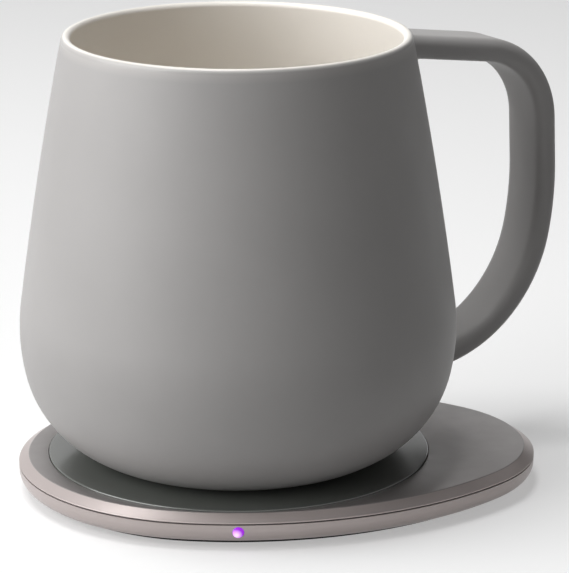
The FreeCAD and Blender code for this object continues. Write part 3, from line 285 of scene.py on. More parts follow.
def lathe(profile, steps, lift=0.0):
    """Rings of a profile of (radius, height) points, turned about the mug's axis."""
    turns = np.linspace(0, 2 * math.pi, steps, endpoint=False)
    rings = []
    for radius, height in profile:
        if radius < SAME_PLACE:
            rings.append([(0.0, 0.0, height + lift)])
        else:
            rings.append(
                [(radius * math.cos(t), radius * math.sin(t), height + lift) for t in turns]
            )
    return rings


def on_circle(centre, radius, turn):
    return (centre[0] + radius * math.cos(turn), centre[1] + radius * math.sin(turn))


def arc_points(centre, radius, start, end, steps):
    return [on_circle(centre, radius, t) for t in np.linspace(start, end, steps)]


def angle_to(centre, point):
    return math.atan2(point[1] - centre[1], point[0] - centre[0])


def circle_meeting(first, first_radius, second, second_radius, upper):
    dx, dy = second[0] - first[0], second[1] - first[1]
    span = math.hypot(dx, dy)
    along = (first_radius ** 2 - second_radius ** 2 + span ** 2) / (2 * span)
    across = math.sqrt(first_radius ** 2 - along ** 2) * (1 if upper else -1)
    return (
        first[0] + (along * dx - across * dy) / span,
        first[1] + (along * dy + across * dx) / span,
    )


def turn_at_height(centre, radius, height):
    return math.asin((height - centre[1]) / radius)


class MugShape:
    """The arcs of the mug's wall, measured from its foot."""

    def __init__(self, size):
        self.size = size
        self.belly = (size.belly_radius - size.belly_arc, size.belly_up)
        self.lip = (size.rim_radius - size.wall / 2, size.height - size.wall / 2)
        side = [
            circle_meeting(self.belly, size.side_arc - size.belly_arc,
                           self.lip, size.side_arc - size.wall / 2, upper)
            for upper in (True, False)
        ]
        self.side = min(side)
        low = [
            circle_meeting(self.belly, size.belly_arc - size.low_arc,
                           (size.foot_radius, 0.0), size.low_arc, upper)
            for upper in (True, False)
        ]
        self.low = max(low, key=lambda place: place[1])
        self.low_turn = angle_to(self.belly, self.low)
        self.side_turn = angle_to(self.side, self.belly)
        self.lip_turn = angle_to(self.side, self.lip)
        self.lip_end = self.lip_turn + math.pi
        # The lining's outer edge, on the outer surface and at the bottom of the step it lies in.
        edge = self.lip[1] - size.glaze_drop
        self.edge_turn = turn_at_height(self.side, size.side_arc, edge)
        self.step_turn = turn_at_height(self.side, size.side_arc - size.glaze, edge)

    def outside(self, height):
        """Outer radius at a height above the foot."""
        size = self.size
        low_top = self.low[1] + size.low_arc * math.sin(self.low_turn)
        side_base = self.side[1] + size.side_arc * math.sin(self.side_turn)
        if height < low_top:
            centre, radius = self.low, size.low_arc
        elif height < side_base:
            centre, radius = self.belly, size.belly_arc
        elif height < self.lip[1]:
            centre, radius = self.side, size.side_arc
        else:
            centre, radius = self.lip, size.wall / 2
        return centre[0] + math.sqrt(max(radius ** 2 - (height - centre[1]) ** 2, 0.0))

    def beyond(self, point):
        """How far a point lies outside the wall, measured level; negative inside it."""
        return math.hypot(point[0], point[1]) - self.outside(point[2])

    def normal(self, point):
        """Unit vector out of the wall at the height of a point."""
        above = self.outside(point[2] + SLOPE_REACH)
        below = self.outside(point[2] - SLOPE_REACH)
        flat = math.hypot(point[0], point[1])
        slope = (above - below) / (2 * SLOPE_REACH)
        vector = np.array([point[0] / flat, point[1] / flat, -slope])
        return vector / np.linalg.norm(vector)

    def up_inside(self, depth, floor, steps=INSIDE_STEPS):
        """Points at a depth below the outer surface, from the height of the floor to the lip."""
        size = self.size
        start = turn_at_height(self.low, size.low_arc - depth, floor)
        bowl = arc_points(self.low, size.low_arc - depth, start, self.low_turn, steps[0])
        belly = arc_points(
            self.belly, size.belly_arc - depth, self.low_turn, self.side_turn, steps[1]
        )
        side = arc_points(self.side, size.side_arc - depth, self.side_turn, self.lip_turn, steps[2])
        return bowl + belly[1:] + side[1:]

    def body_profile(self):
        """Closed profile of the ceramic wall, with its foot ring and the step for the lining."""
        size = self.size
        ring_inside = size.foot_radius - size.ring_width
        heel = turn_at_height(self.low, size.low_arc, FOOT_ROUND)
        bowl_steps, belly_steps, side_steps = OUTSIDE_STEPS
        # The foot ring stands on a face that ends short of its edges, which are eased.
        points = [
            (ring_inside + FOOT_ROUND, 0.0),
            (size.foot_radius - 1.2 * FOOT_ROUND, 0.0),
            (size.foot_radius - 0.2 * FOOT_ROUND, 0.25 * FOOT_ROUND),
        ]
        points += arc_points(self.low, size.low_arc, heel, self.low_turn, bowl_steps)
        points += arc_points(
            self.belly, size.belly_arc, self.low_turn, self.side_turn, belly_steps
        )[1:]
        points += arc_points(
            self.side, size.side_arc, self.side_turn, self.edge_turn, side_steps
        )[1:]
        points += arc_points(
            self.side, size.side_arc - size.glaze, self.step_turn, self.lip_turn, EDGE_SEAT_STEPS
        )
        points += arc_points(
            self.lip, size.wall / 2 - size.glaze, self.lip_turn, self.lip_end, LIP_SEAT_STEPS
        )[1:]
        points += self.up_inside(size.wall - size.glaze, size.floor - size.glaze)[::-1][1:]
        points += [
            (0.0, size.floor - size.glaze),
            (0.0, size.ring_height),
            (ring_inside - 2 * FOOT_ROUND, size.ring_height),
            (ring_inside, size.ring_height - 2 * FOOT_ROUND),
            (ring_inside, FOOT_ROUND),
        ]
        return points

    def glaze_profile(self):
        """Closed profile of the lining, up its seen face and down the face on the wall."""
        size = self.size
        points = arc_points(self.side, size.side_arc, self.edge_turn, self.lip_turn, EDGE_STEPS)
        points += arc_points(self.lip, size.wall / 2, self.lip_turn, self.lip_end, LIP_STEPS)[1:]
        points += self.up_inside(size.wall, size.floor, LINING_STEPS)[::-1][1:]
        points += [(0.0, size.floor), (0.0, size.floor - size.glaze)]
        points += self.up_inside(size.wall - size.glaze, size.floor - size.glaze)
        points += arc_points(
            self.lip, size.wall / 2 - size.glaze, self.lip_end, self.lip_turn, LIP_SEAT_STEPS
        )[1:]
        points += arc_points(
            self.side, size.side_arc - size.glaze, self.lip_turn, self.step_turn, EDGE_SEAT_STEPS
        )[1:]
        return points


class PadOutline:
    """The pad's four-arc plan, sampled evenly along its length."""

    def __init__(self, size, steps=OUTLINE_STEPS):
        tail, side, nose = size.tail_radius, size.side_radius, size.nose_radius
        span = size.tail_back + size.nose_ahead
        step = ((side - tail) ** 2 - (side - nose) ** 2 + span ** 2) / (2 * span)
        side_x = step - size.tail_back
        side_y = math.sqrt((side - tail) ** 2 - step ** 2)
        nose_turn = math.atan2(side_y, size.nose_ahead - side_x)
        tail_turn = math.atan2(side_y, -size.tail_back - side_x)
        arcs = [
            ((size.nose_ahead, 0.0), nose, -nose_turn, nose_turn),
            ((side_x, -side_y), side, nose_turn, tail_turn),
            ((-size.tail_back, 0.0), tail, tail_turn, 2 * math.pi - tail_turn),
            ((side_x, side_y), side, 2 * math.pi - tail_turn, 2 * math.pi - nose_turn),
        ]
        lengths = [radius * (end - start) for _, radius, start, end in arcs]
        whole = sum(lengths)
        self.half_width = side - side_y
        self.places = []
        self.turns = []
        self.radii = []
        for (centre, radius, start, end), run in zip(arcs, lengths):
            count = round(steps * run / whole)
            for turn in np.linspace(start, end, count, endpoint=False):
                self.places.append(centre)
                self.turns.append(turn)
                self.radii.append(radius)

    def ring(self, inset, height):
        return [
            on_circle(centre, radius - inset, turn) + (height,)
            for centre, radius, turn in zip(self.places, self.radii, self.turns)
        ]

    def circle(self, radius, height):
        """A circle about the glass's centre whose points face those of the outline."""
        ring = []
        for x, y, _ in self.ring(0.0, 0.0):
            turn = math.atan2(y, x)
            ring.append((radius * math.cos(turn), radius * math.sin(turn), height))
        return ring


def glass_radius(size, outline):
    """Radius of the round glass, which lies inside the narrowest part of the sloped edge."""
    return outline.half_width - size.slope_run - size.rim_land


def strap_section(size):
    """Points round the strap: (out of the bend, along the width, outward direction)."""
    corner = size.rounding
    out = size.thickness / 2 - corner
    along = size.width / 2 - corner
    corners = [
        (out, along, 2 * out, THICK_STEPS),
        (-out, along, 2 * along, WIDE_STEPS),
        (-out, -along, 2 * out, THICK_STEPS),
        (out, -along, 2 * along, WIDE_STEPS),
    ]
    points = []
    for quarter, (x, y, run, steps) in enumerate(corners):
        start = quarter * math.pi / 2
        for turn in np.linspace(start, start + math.pi / 2, CORNER_STEPS):
            toward = (math.cos(turn), math.sin(turn))
            points.append((x + corner * toward[0], y + corner * toward[1], toward))
        x, y, toward = points[-1]
        for step in range(1, steps):
            move = run * step / steps
            points.append((x - toward[1] * move, y + toward[0] * move, toward))
    return points


def strap_path(size, mug):
    """Stations of the strap between its two straight runs: (radius and height, heading)."""
    after_top = size.slope + size.top_sweep
    after_mid = after_top + size.mid_sweep
    after_low = after_mid + size.low_sweep
    start = np.array([mug.rim_radius - size.start, mug.height - size.top])
    reach = mug.belly_radius + size.top_run - start[0]
    fall = start[1] - (mug.belly_up - size.low) - reach * math.tan(size.slope)
    fall -= size.top_arc * (math.cos(size.slope) - math.cos(after_top))
    fall -= size.mid_arc * (math.cos(after_top) - math.cos(after_mid))
    fall -= size.low_arc * (math.cos(after_mid) - math.cos(after_low))
    fall -= size.low_run * math.sin(after_low)
    grip = fall / math.sin(after_top)
    spot = start + np.array([reach, -reach * math.tan(size.slope)])
    stations = []
    spot = follow_bend(stations, spot, size.top_arc, size.slope, size.top_sweep, TIGHT_BEND_STEPS)
    grip_ahead = np.array([math.cos(after_top), -math.sin(after_top)])
    for part in range(GRIP_STEPS):
        stations.append((spot + grip_ahead * grip * part / GRIP_STEPS, -after_top))
    spot = spot + grip_ahead * grip
    spot = follow_bend(stations, spot, size.mid_arc, after_top, size.mid_sweep, WIDE_BEND_STEPS)
    spot = follow_bend(stations, spot, size.low_arc, after_mid, size.low_sweep, TIGHT_BEND_STEPS)
    stations.append((spot, -after_low))
    return stations


def follow_bend(stations, spot, radius, fall, sweep, steps):
    """Adds the stations of a right-hand bend and gives the place where it ends."""
    centre = spot - radius * np.array([math.sin(fall), math.cos(fall)])
    for part in range(steps):
        turn = fall + sweep * part / steps
        stations.append((centre + radius * np.array([math.sin(turn), math.cos(turn)]), -turn))
    end = fall + sweep
    return centre + radius * np.array([math.sin(end), math.cos(end)])


def out_of_bend(heading):
    return np.array([-math.sin(heading), 0.0, math.cos(heading)])


def strap_ring(spot, heading, section):
    """The strap's section at a station."""
    centre = np.array([spot[0], 0.0, spot[1]])
    return [centre + a * out_of_bend(heading) + b * ACROSS for a, b, _ in section]


def strap_root(shape, root_round, station, section, away):
    """Rings from the wall to the straight strap, flared evenly; away is 1 where the heading leaves
    the wall and -1 where it meets it."""
    spot, heading = station
    forward = np.array([math.cos(heading), 0.0, math.sin(heading)]) * away
    normal = out_of_bend(heading)
    rings = [[] for _ in range(ROOT_STEPS + 1)]
    for start, (_, _, (side_a, side_b)) in zip(strap_ring(spot, heading, section), section):
        inside, beyond = -WALL_SEARCH, 0.0
        for _ in range(WALL_HALVINGS):
            middle = (inside + beyond) / 2
            if shape.beyond(start + middle * forward) > 0:
                beyond = middle
            else:
                inside = middle
        foot = start + beyond * forward
        side = side_a * normal + side_b * ACROSS
        steep = shape.normal(foot)
        wall = np.array([-float(side @ steep), float(forward @ steep)])
        wall = wall / np.linalg.norm(wall)
        opening = math.acos(max(-1.0, min(1.0, wall[0])))
        radius = root_round
        if side[2] > 0:
            room = shape.lip[1] + shape.size.wall / 4 - foot[2]
            radius = min(radius, room / side[2])
        run = radius / math.tan(opening / 2)
        points = []
        for part in range(ROOT_STEPS + 1):
            turn = (math.pi - opening) * part / ROOT_STEPS
            along = run - radius * math.sin(turn)
            rise = radius - radius * math.cos(turn)
            points.append(foot + along * forward + rise * side)
        push = shape.normal(points[-1]) * (shape.beyond(points[-1]) + ROOT_SINK)
        for part, point in enumerate(points):
            share = (part / ROOT_STEPS) ** 2
            rings[ROOT_STEPS - part].append(point - share * push)
    return rings


class Finish:
    """A procedural material built round one Principled shader."""

    def __init__(self, name, base, roughness, metallic=0.0, specular=0.5):
        self.material = bpy.data.materials.new(name)
        self.material.use_nodes = True
        self.tree = self.material.node_tree
        self.shader = self.tree.nodes["Principled BSDF"]
        self.shader.inputs["Base Color"].default_value = (*base, 1.0)
        self.shader.inputs["Roughness"].default_value = roughness
        self.shader.inputs["Metallic"].default_value = metallic
        self.shader.inputs["Specular IOR Level"].default_value = specular
        self.place = self.node("ShaderNodeTexCoord").outputs["Object"]

    def node(self, kind, **settings):
        made = self.tree.nodes.new(kind)
        for key, value in settings.items():
            setattr(made, key, value)
        return made

    def join(self, source, target):
        self.tree.links.new(source, target)

    def noise(self, scale, detail=3.0, roughness=0.5, stretch=None):
        made = self.node("ShaderNodeTexNoise")
        made.inputs["Scale"].default_value = scale
        made.inputs["Detail"].default_value = detail
        made.inputs["Roughness"].default_value = roughness
        if stretch:
            mapping = self.node("ShaderNodeMapping")
            mapping.inputs["Scale"].default_value = stretch
            self.join(self.place, mapping.inputs["Vector"])
            self.join(mapping.outputs["Vector"], made.inputs["Vector"])
        else:
            self.join(self.place, made.inputs["Vector"])
        return made.outputs["Fac"]

    def spread(self, source, low, high, from_low=0.3, from_high=0.7):
        """Runs from low to high as the source goes from from_low to from_high."""
        made = self.node("ShaderNodeMapRange")
        made.inputs["From Min"].default_value = from_low
        made.inputs["From Max"].default_value = from_high
        made.inputs["To Min"].default_value = low
        made.inputs["To Max"].default_value = high
        self.join(source, made.inputs["Value"])
        return made.outputs["Result"]

    def ramp(self, source, low, low_colour, high, high_colour):
        """Colour that runs from one to the other as the source goes from low to high."""
        made = self.node("ShaderNodeValToRGB")
        first, last = made.color_ramp.elements
        first.position = low
        first.color = (*low_colour, 1.0)
        last.position = high
        last.color = (*high_colour, 1.0)
        self.join(source, made.inputs["Fac"])
        return made.outputs["Color"]

    def mottle(self, base, dark, light, **grain):
        """Colour that drifts between a darker and a lighter shade of the base."""
        darker = [c * dark for c in base]
        lighter = [min(c * light, 1.0) for c in base]
        return self.ramp(self.noise(**grain), 0.35, darker, 0.65, lighter)

    def vector_math(self, operation, source, other=None):
        made = self.node("ShaderNodeVectorMath", operation=operation)
        self.join(source, made.inputs[0])
        if other is not None:
            made.inputs[1].default_value = other
        return made

    def height(self):
        """Height of the shaded point above the floor."""
        made = self.node("ShaderNodeSeparateXYZ")
        self.join(self.place, made.inputs["Vector"])
        return made.outputs["Z"]

    def blend(self, share, tone, other):
        """Mixes a colour into a tone by a share from 0 to 1."""
        made = self.node("ShaderNodeMix", data_type="RGBA")
        # The node's colour sockets share their names with unused ones, so they go by number.
        made.inputs[7].default_value = (*other, 1.0)
        self.join(share, made.inputs[0])
        self.join(tone, made.inputs[6])
        return made.outputs[2]

    def paint(self, source):
        self.join(source, self.shader.inputs["Base Color"])

    def rough(self, source):
        self.join(source, self.shader.inputs["Roughness"])

    def bump(self, source, amount, distance):
        made = self.node("ShaderNodeBump")
        made.inputs["Strength"].default_value = amount
        made.inputs["Distance"].default_value = distance
        self.join(source, made.inputs["Height"])
        self.join(made.outputs["Normal"], self.shader.inputs["Normal"])


def matt_glaze(colours, shape=None):
    """Warm grey glaze, matt and very finely pitted; with a shape, warmer where it thins below
    the lip."""
    base = tuple(colours.mug_grey)
    finish = Finish("warm_grey_matt_glaze", base, roughness=0.5, specular=0.42)
    tone = finish.mottle(base, 0.975, 1.025, scale=28.0, detail=4.0, roughness=0.55)
    if shape is not None:
        edge = shape.size.foot_height + shape.lip[1] - shape.size.glaze_drop
        thin = finish.spread(
            finish.height(), low=0.0, high=0.14, from_low=edge - 1.6 * MM, from_high=edge
        )
        tone = finish.blend(thin, tone, tuple(colours.cream))
    finish.paint(tone)
    finish.rough(finish.spread(finish.noise(scale=70.0, detail=2.0), low=0.46, high=0.56))
    finish.bump(finish.noise(scale=2600.0, roughness=0.6), amount=0.12, distance=0.04 * MM)
    return finish.material


def cream_glaze(colours, shape):
    """Cream lining, satin, with a fine skin; it thins to the grey glaze over the lip's crown."""
    base = tuple(colours.cream)
    finish = Finish("cream_satin_glaze", base, roughness=0.32)
    tone = finish.mottle(base, 0.985, 1.015, scale=35.0)
    flat = finish.vector_math("MULTIPLY", finish.place, (1.0, 1.0, 0.0))
    reach = finish.vector_math("LENGTH", flat.outputs[0])
    half = shape.size.wall / 2
    outer = finish.spread(
        reach.outputs["Value"], low=0.0, high=0.88,
        from_low=shape.lip[0] + 0.35 * half, from_high=shape.lip[0] + 0.75 * half,
    )
    lip = shape.size.foot_height + shape.lip[1] - half
    high = finish.spread(
        finish.height(), low=0.0, high=1.0, from_low=lip - 0.1 * MM, from_high=lip
    )
    share = finish.node("ShaderNodeMath", operation="MULTIPLY")
    finish.join(outer, share.inputs[0])
    finish.join(high, share.inputs[1])
    finish.paint(finish.blend(share.outputs[0], tone, tuple(colours.mug_grey)))
    finish.rough(finish.spread(finish.noise(scale=90.0, detail=2.0), low=0.28, high=0.38))
    finish.bump(finish.noise(scale=900.0, detail=2.0), amount=0.06, distance=0.05 * MM)
    return finish.material


def cover_coat(colours):
    """Satin warm grey coat of the cover's flat top, finely blasted."""
    base = tuple(colours.cover_grey)
    finish = Finish("satin_grey_coat", base, roughness=0.36, metallic=0.5)
    finish.paint(finish.mottle(base, 0.98, 1.02, scale=60.0))
    finish.rough(finish.spread(finish.noise(scale=300.0), low=0.33, high=0.39))
    blast = finish.noise(scale=5200.0, detail=2.0, roughness=0.6)
    finish.bump(blast, amount=0.08, distance=0.03 * MM)
    return finish.material


def edge_metal(colours):
    """Pinkish satin metal of the sloped edge and the band, with very fine lines along the rim."""
    base = tuple(colours.edge_pink)
    finish = Finish("pinkish_satin_metal", base, roughness=0.34, metallic=0.45)
    finish.paint(finish.mottle(base, 0.985, 1.015, scale=90.0))
    lines = finish.noise(scale=1500.0, roughness=0.6, stretch=(0.2, 0.2, 6.0))
    finish.rough(finish.spread(lines, low=0.31, high=0.37))
    finish.bump(lines, amount=0.05, distance=0.02 * MM)
    return finish.material


def dark_glass(colours):
    """Satin grey-green glass with a faint haze and soft reflections."""
    base = tuple(colours.glass)
    finish = Finish("satin_dark_glass", base, roughness=0.2)
    finish.shader.inputs["IOR"].default_value = 1.85
    finish.paint(finish.mottle(base, 0.95, 1.05, scale=22.0, detail=2.0))
    haze = finish.noise(scale=45.0, detail=5.0, roughness=0.62)
    finish.rough(finish.spread(haze, low=0.17, high=0.24, from_low=0.45, from_high=0.75))
    finish.bump(finish.noise(scale=35.0, detail=1.0), amount=0.02, distance=0.1 * MM)
    return finish.material


def rubber(name, base, scale=900.0):
    finish = Finish(name, base, roughness=0.7, specular=0.3)
    finish.paint(finish.mottle(base, 0.8, 1.25, scale=scale / 6))
    finish.bump(finish.noise(scale), amount=0.25, distance=0.06 * MM)
    return finish.material


def lamp_lens(colours, heart, radius):
    """Lit violet lens that glows, with a painted highlight: pale at its heart, low on one side, and
    deep violet away from it.
    """
    finish = Finish("lit_violet_lens", tuple(colours.lamp), roughness=0.12)
    offset = finish.vector_math("DISTANCE", finish.place, heart)
    share = finish.spread(
        offset.outputs["Value"], low=0.0, high=1.0, from_low=0.0, from_high=HIGHLIGHT_REACH * radius
    )
    tone = finish.ramp(share, 0.12, colours.lamp_highlight, 0.8, colours.lamp)
    finish.join(tone, finish.shader.inputs["Emission Color"])
    finish.shader.inputs["Emission Strength"].default_value = 0.9
    finish.paint(tone)
    return finish.material


def plain_part(name, base, roughness, metallic=0.0, scale=700.0, swing=0.08, bump=0.15):
    """Small hidden part: tone, gloss and skin vary finely."""
    finish = Finish(name, base, roughness, metallic=metallic)
    finish.paint(finish.mottle(base, 1 - swing, 1 + swing, scale=scale / 5))
    finish.rough(
        finish.spread(finish.noise(scale / 2), low=roughness * 0.85, high=roughness * 1.15)
    )
    finish.bump(finish.noise(scale), bump, distance=0.04 * MM)
    return finish.material


def film_tracks(name, base, track):
    """Amber heater film with its printed element as fine rings."""
    finish = Finish(name, base, roughness=0.4)
    wave = finish.node("ShaderNodeTexWave", wave_type="RINGS", rings_direction="Z")
    wave.inputs["Scale"].default_value = 90.0
    finish.join(finish.place, wave.inputs["Vector"])
    finish.paint(finish.ramp(wave.outputs["Fac"], 0.45, base, 0.55, track))
    finish.bump(wave.outputs["Fac"], amount=0.2, distance=0.05 * MM)
    return finish.material


def dress(material, *nodes):
    """Gives kept solids their material."""
    for node in nodes:
        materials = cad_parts[node].data.materials
        materials.clear()
        materials.append(material)


def seen_rays(tree):
    """Gives 1 for camera, glossy and transmission rays and 0 for the rays that carry light."""
    rays = tree.nodes.new("ShaderNodeLightPath")
    share = rays.outputs["Is Camera Ray"]
    for name in ("Is Glossy Ray", "Is Transmission Ray"):
        larger = tree.nodes.new("ShaderNodeMath")
        larger.operation = "MAXIMUM"
        tree.links.new(share, larger.inputs[0])
        tree.links.new(rays.outputs[name], larger.inputs[1])
        share = larger.outputs[0]
    return share


class MUGWARMER_OT_stage(bpy.types.Operator):
    """Makes the camera, the floor, the lamps and the even studio light"""

    bl_idname = "mug_warmer.stage"
    bl_label = "Make the stage"

    def execute(self, context):
        scene = context.scene
        stage = scene.mug_warmer_stage
        self.add_camera(scene, stage)
        self.add_floor(stage)
        self.add_lamp("key_lamp", place=(-0.78, -0.18, 0.42), size=(0.9, 0.7), watts=stage.key)
        self.add_lamp("top_lamp", place=(-0.20, 0.04, 0.88), size=(0.5, 0.5), watts=stage.top)
        self.add_lamp("rim_lamp", place=(0.70, 0.35, 0.30), size=(0.3, 0.7), watts=stage.rim)
        self.add_card("dark_card_above", place=(0.49, 0.31, 0.69), width=0.9)
        self.add_card("dark_card_beside", place=(0.75, 0.50, 0.32), width=0.8)
        self.add_world(scene, stage)
        scene.view_settings.view_transform = "Standard"
        return {"FINISHED"}

    def add_camera(self, scene, stage):
        data = bpy.data.cameras.new("studio_camera")
        data.lens = stage.lens
        data.sensor_width = SENSOR_WIDTH
        data.clip_start = CLIP_START
        data.clip_end = CLIP_END
        camera = bpy.data.objects.new("studio_camera", data)
        scene.collection.objects.link(camera)
        camera.location = (
            -stage.camera_away * math.sin(stage.camera_turn),
            -stage.camera_away * math.cos(stage.camera_turn),
            stage.camera_up,
        )
        camera.rotation_euler = (math.pi / 2 - stage.camera_pitch, 0.0, -stage.camera_heading)
        scene.camera = camera

    def add_floor(self, stage):
        """Pale floor that keeps light and shadow over its own glow; seen from below it is clear."""
        floor = flat_square("studio_floor", FLOOR_REACH)
        material = bpy.data.materials.new("pale_floor")
        material.use_nodes = True
        tree = material.node_tree
        tree.nodes.clear()
        output = tree.nodes.new("ShaderNodeOutputMaterial")
        matt = tree.nodes.new("ShaderNodeBsdfDiffuse")
        shade = tree.nodes.new("ShaderNodeMapRange")
        shade.inputs["To Min"].default_value = stage.floor_bounce
        shade.inputs["To Max"].default_value = stage.floor_shade
        glow = tree.nodes.new("ShaderNodeEmission")
        lift = tree.nodes.new("ShaderNodeMath")
        lift.operation = "MULTIPLY"
        lift.inputs[1].default_value = 1.0 - stage.floor_shade
        both = tree.nodes.new("ShaderNodeAddShader")
        under = tree.nodes.new("ShaderNodeNewGeometry")
        clear = tree.nodes.new("ShaderNodeBsdfTransparent")
        swap = tree.nodes.new("ShaderNodeMixShader")
        link = tree.links.new
        seen = seen_rays(tree)
        link(seen, shade.inputs["Value"])
        link(seen, lift.inputs[0])
        link(lift.outputs[0], glow.inputs["Strength"])
        link(shade.outputs["Result"], matt.inputs["Color"])
        link(matt.outputs[0], both.inputs[0])
        link(glow.outputs[0], both.inputs[1])
        link(under.outputs["Backfacing"], swap.inputs["Fac"])
        link(both.outputs[0], swap.inputs[1])
        link(clear.outputs[0], swap.inputs[2])
        link(swap.outputs[0], output.inputs["Surface"])
        floor.data.materials.append(material)

    def add_lamp(self, name, place, size, watts):
        data = bpy.data.lights.new(name, "AREA")
        data.shape = "RECTANGLE"
        data.size, data.size_y = size
        data.energy = watts
        lamp = bpy.data.objects.new(name, data)
        bpy.context.scene.collection.objects.link(lamp)
        lamp.location = place
        lamp.rotation_euler = (LAMP_AIM - Vector(place)).to_track_quat("-Z", "Y").to_euler()

    def add_card(self, name, place, width):
        """Dark card over the right side; only reflections see it, so metal keeps its depth."""
        card = flat_square(name, width / 2)
        material = bpy.data.materials.new(name)
        material.use_nodes = True
        shader = material.node_tree.nodes["Principled BSDF"]
        shader.inputs["Base Color"].default_value = CARD_COLOUR
        card.data.materials.append(material)
        card.location = place
        card.rotation_euler = Vector(place).to_track_quat("Z", "Y").to_euler()
        card.visible_camera = False
        card.visible_diffuse = False
        card.visible_shadow = False
        card.visible_transmission = False

    def add_world(self, scene, stage):
        """White where the camera and reflections look, and a weak even light on the object."""
        world = bpy.data.worlds.new("studio")
        scene.world = world
        world.use_nodes = True
        tree = world.node_tree
        tree.nodes.clear()
        output = tree.nodes.new("ShaderNodeOutputWorld")
        shown = tree.nodes.new("ShaderNodeBackground")
        even = tree.nodes.new("ShaderNodeBackground")
        even.inputs["Strength"].default_value = stage.ambient
        swap = tree.nodes.new("ShaderNodeMixShader")
        link = tree.links.new
        link(seen_rays(tree), swap.inputs["Fac"])
        link(even.outputs[0], swap.inputs[1])
        link(shown.outputs[0], swap.inputs[2])
        link(swap.outputs[0], output.inputs["Surface"])


class MUGWARMER_OT_mug(bpy.types.Operator):
    """Makes the mug's ceramic wall with its foot ring"""

    bl_idname = "mug_warmer.mug"
    bl_label = "Make the mug"

    def execute(self, context):
        scene = context.scene
        shape = MugShape(scene.mug_warmer_mug)
        rings = lathe(shape.body_profile(), MUG_STEPS, lift=shape.size.foot_height)
        piece = finish_mesh("mug_wall", *ring_stack(rings, closed=True), sharp=40.0)
        piece.data.materials.append(matt_glaze(scene.mug_warmer_finishes, shape))
        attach(piece, "mug")
        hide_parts("mug_body")
        return {"FINISHED"}


class MUGWARMER_OT_lining(bpy.types.Operator):
    """Makes the cream glaze inside the mug and over its lip"""

    bl_idname = "mug_warmer.lining"
    bl_label = "Make the cream lining"

    def execute(self, context):
        scene = context.scene
        shape = MugShape(scene.mug_warmer_mug)
        rings = lathe(shape.glaze_profile(), MUG_STEPS, lift=shape.size.foot_height)
        piece = finish_mesh("cream_lining", *ring_stack(rings, closed=True), sharp=60.0)
        piece.data.materials.append(cream_glaze(scene.mug_warmer_finishes, shape))
        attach(piece, "mug")
        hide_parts("inner_glaze")
        return {"FINISHED"}


class MUGWARMER_OT_handle(bpy.types.Operator):
    """Makes the strap handle with its flared roots"""

    bl_idname = "mug_warmer.handle"
    bl_label = "Make the handle"

    def execute(self, context):
        scene = context.scene
        shape = MugShape(scene.mug_warmer_mug)
        size = scene.mug_warmer_handle
        section = strap_section(size)
        stations = strap_path(size, shape.size)
        rings = strap_root(shape, size.root_round, stations[0], section, away=1.0)
        rings += [strap_ring(spot, heading, section) for spot, heading in stations]
        rings += strap_root(shape, size.root_round, stations[-1], section, away=-1.0)[::-1]
        vertices, faces = ring_stack(rings, closed=False)
        count = len(section)
        faces.append(tuple(range(count)))
        faces.append(tuple(range(len(vertices) - count, len(vertices))))
        cos, sin = math.cos(size.turn), math.sin(size.turn)
        lift = shape.size.foot_height
        placed = [(x * cos - y * sin, x * sin + y * cos, z + lift) for x, y, z in vertices]
        piece = finish_mesh("strap_handle", placed, faces, sharp=70.0)
        piece.data.materials.append(matt_glaze(scene.mug_warmer_finishes))
        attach(piece, "mug")
        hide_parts("mug_handle")
        return {"FINISHED"}


class MUGWARMER_OT_cover(bpy.types.Operator):
    """Makes the top cover with its sloped edge and the glass's seat"""

    bl_idname = "mug_warmer.cover"
    bl_label = "Make the cover"

    def execute(self, context):
        scene = context.scene
        size = scene.mug_warmer_pad
        outline = PadOutline(size)
        base, top, land = size.cover_base, size.cover_top, size.edge_land
        small = size.edge_round
        rise = (top - base - land) / size.slope_run
        glass = glass_radius(size, outline)
        seat = glass + size.glass_gap
        # Every corner is eased over a share of the small bevel's width.
        slope = [
            outline.ring(small / 2, base),
            outline.ring(0.0, base + small / 2),
            outline.ring(0.0, base + land - small / 3),
            outline.ring(small / 6, base + land + small / 6),
            outline.ring(small / 2, base + land + small / 2 * rise),
            outline.ring(size.slope_run - small, top - small * rise),
            outline.ring(size.slope_run - small / 4, top - small * 0.12),
            outline.ring(size.slope_run + small * 0.6, top),
        ]
        inner = [
            outline.circle(seat + small / 2, top),
            outline.circle(seat + small / 6, top - small / 6),
            outline.circle(seat, top - small / 2),
            outline.circle(seat, size.seat_top),
            outline.circle(glass - size.ledge_width, size.seat_top),
            outline.circle(glass - size.ledge_width, base),
        ]
        piece = finish_mesh("sloped_cover", *ring_stack(slope + inner, closed=True), sharp=50.0)
        colours = scene.mug_warmer_finishes
        piece.data.materials.append(cover_coat(colours))
        piece.data.materials.append(edge_metal(colours))
        flat = top - small * rise * 0.9
        for face in piece.data.polygons:
            face.material_index = 1 if face.center.z < flat else 0
        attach(piece, "pad")
        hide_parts("top_cover")
        return {"FINISHED"}


class MUGWARMER_OT_glass(bpy.types.Operator):
    """Makes the round glass plate with its polished edge"""

    bl_idname = "mug_warmer.glass"
    bl_label = "Make the glass plate"

    def execute(self, context):
        scene = context.scene
        size = scene.mug_warmer_pad
        radius = glass_radius(size, PadOutline(size))
        top, base, small = size.glass_top, size.glass_base, size.glass_round
        edge = (radius - small, top - small)
        profile = [(0.0, base), (radius - small, base), (radius, base + small)]
        profile += arc_points(edge, small, 0.0, math.pi / 2, GLASS_EDGE_STEPS)
        profile += [(radius - 3 * small, top), (radius * 0.6, top), (0.0, top)]
        rings = lathe(profile, GLASS_STEPS)
        piece = finish_mesh("round_glass", *ring_stack(rings, closed=False), sharp=50.0)
        piece.data.materials.append(dark_glass(scene.mug_warmer_finishes))
        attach(piece, "pad")
        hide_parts("glass_plate")
        return {"FINISHED"}


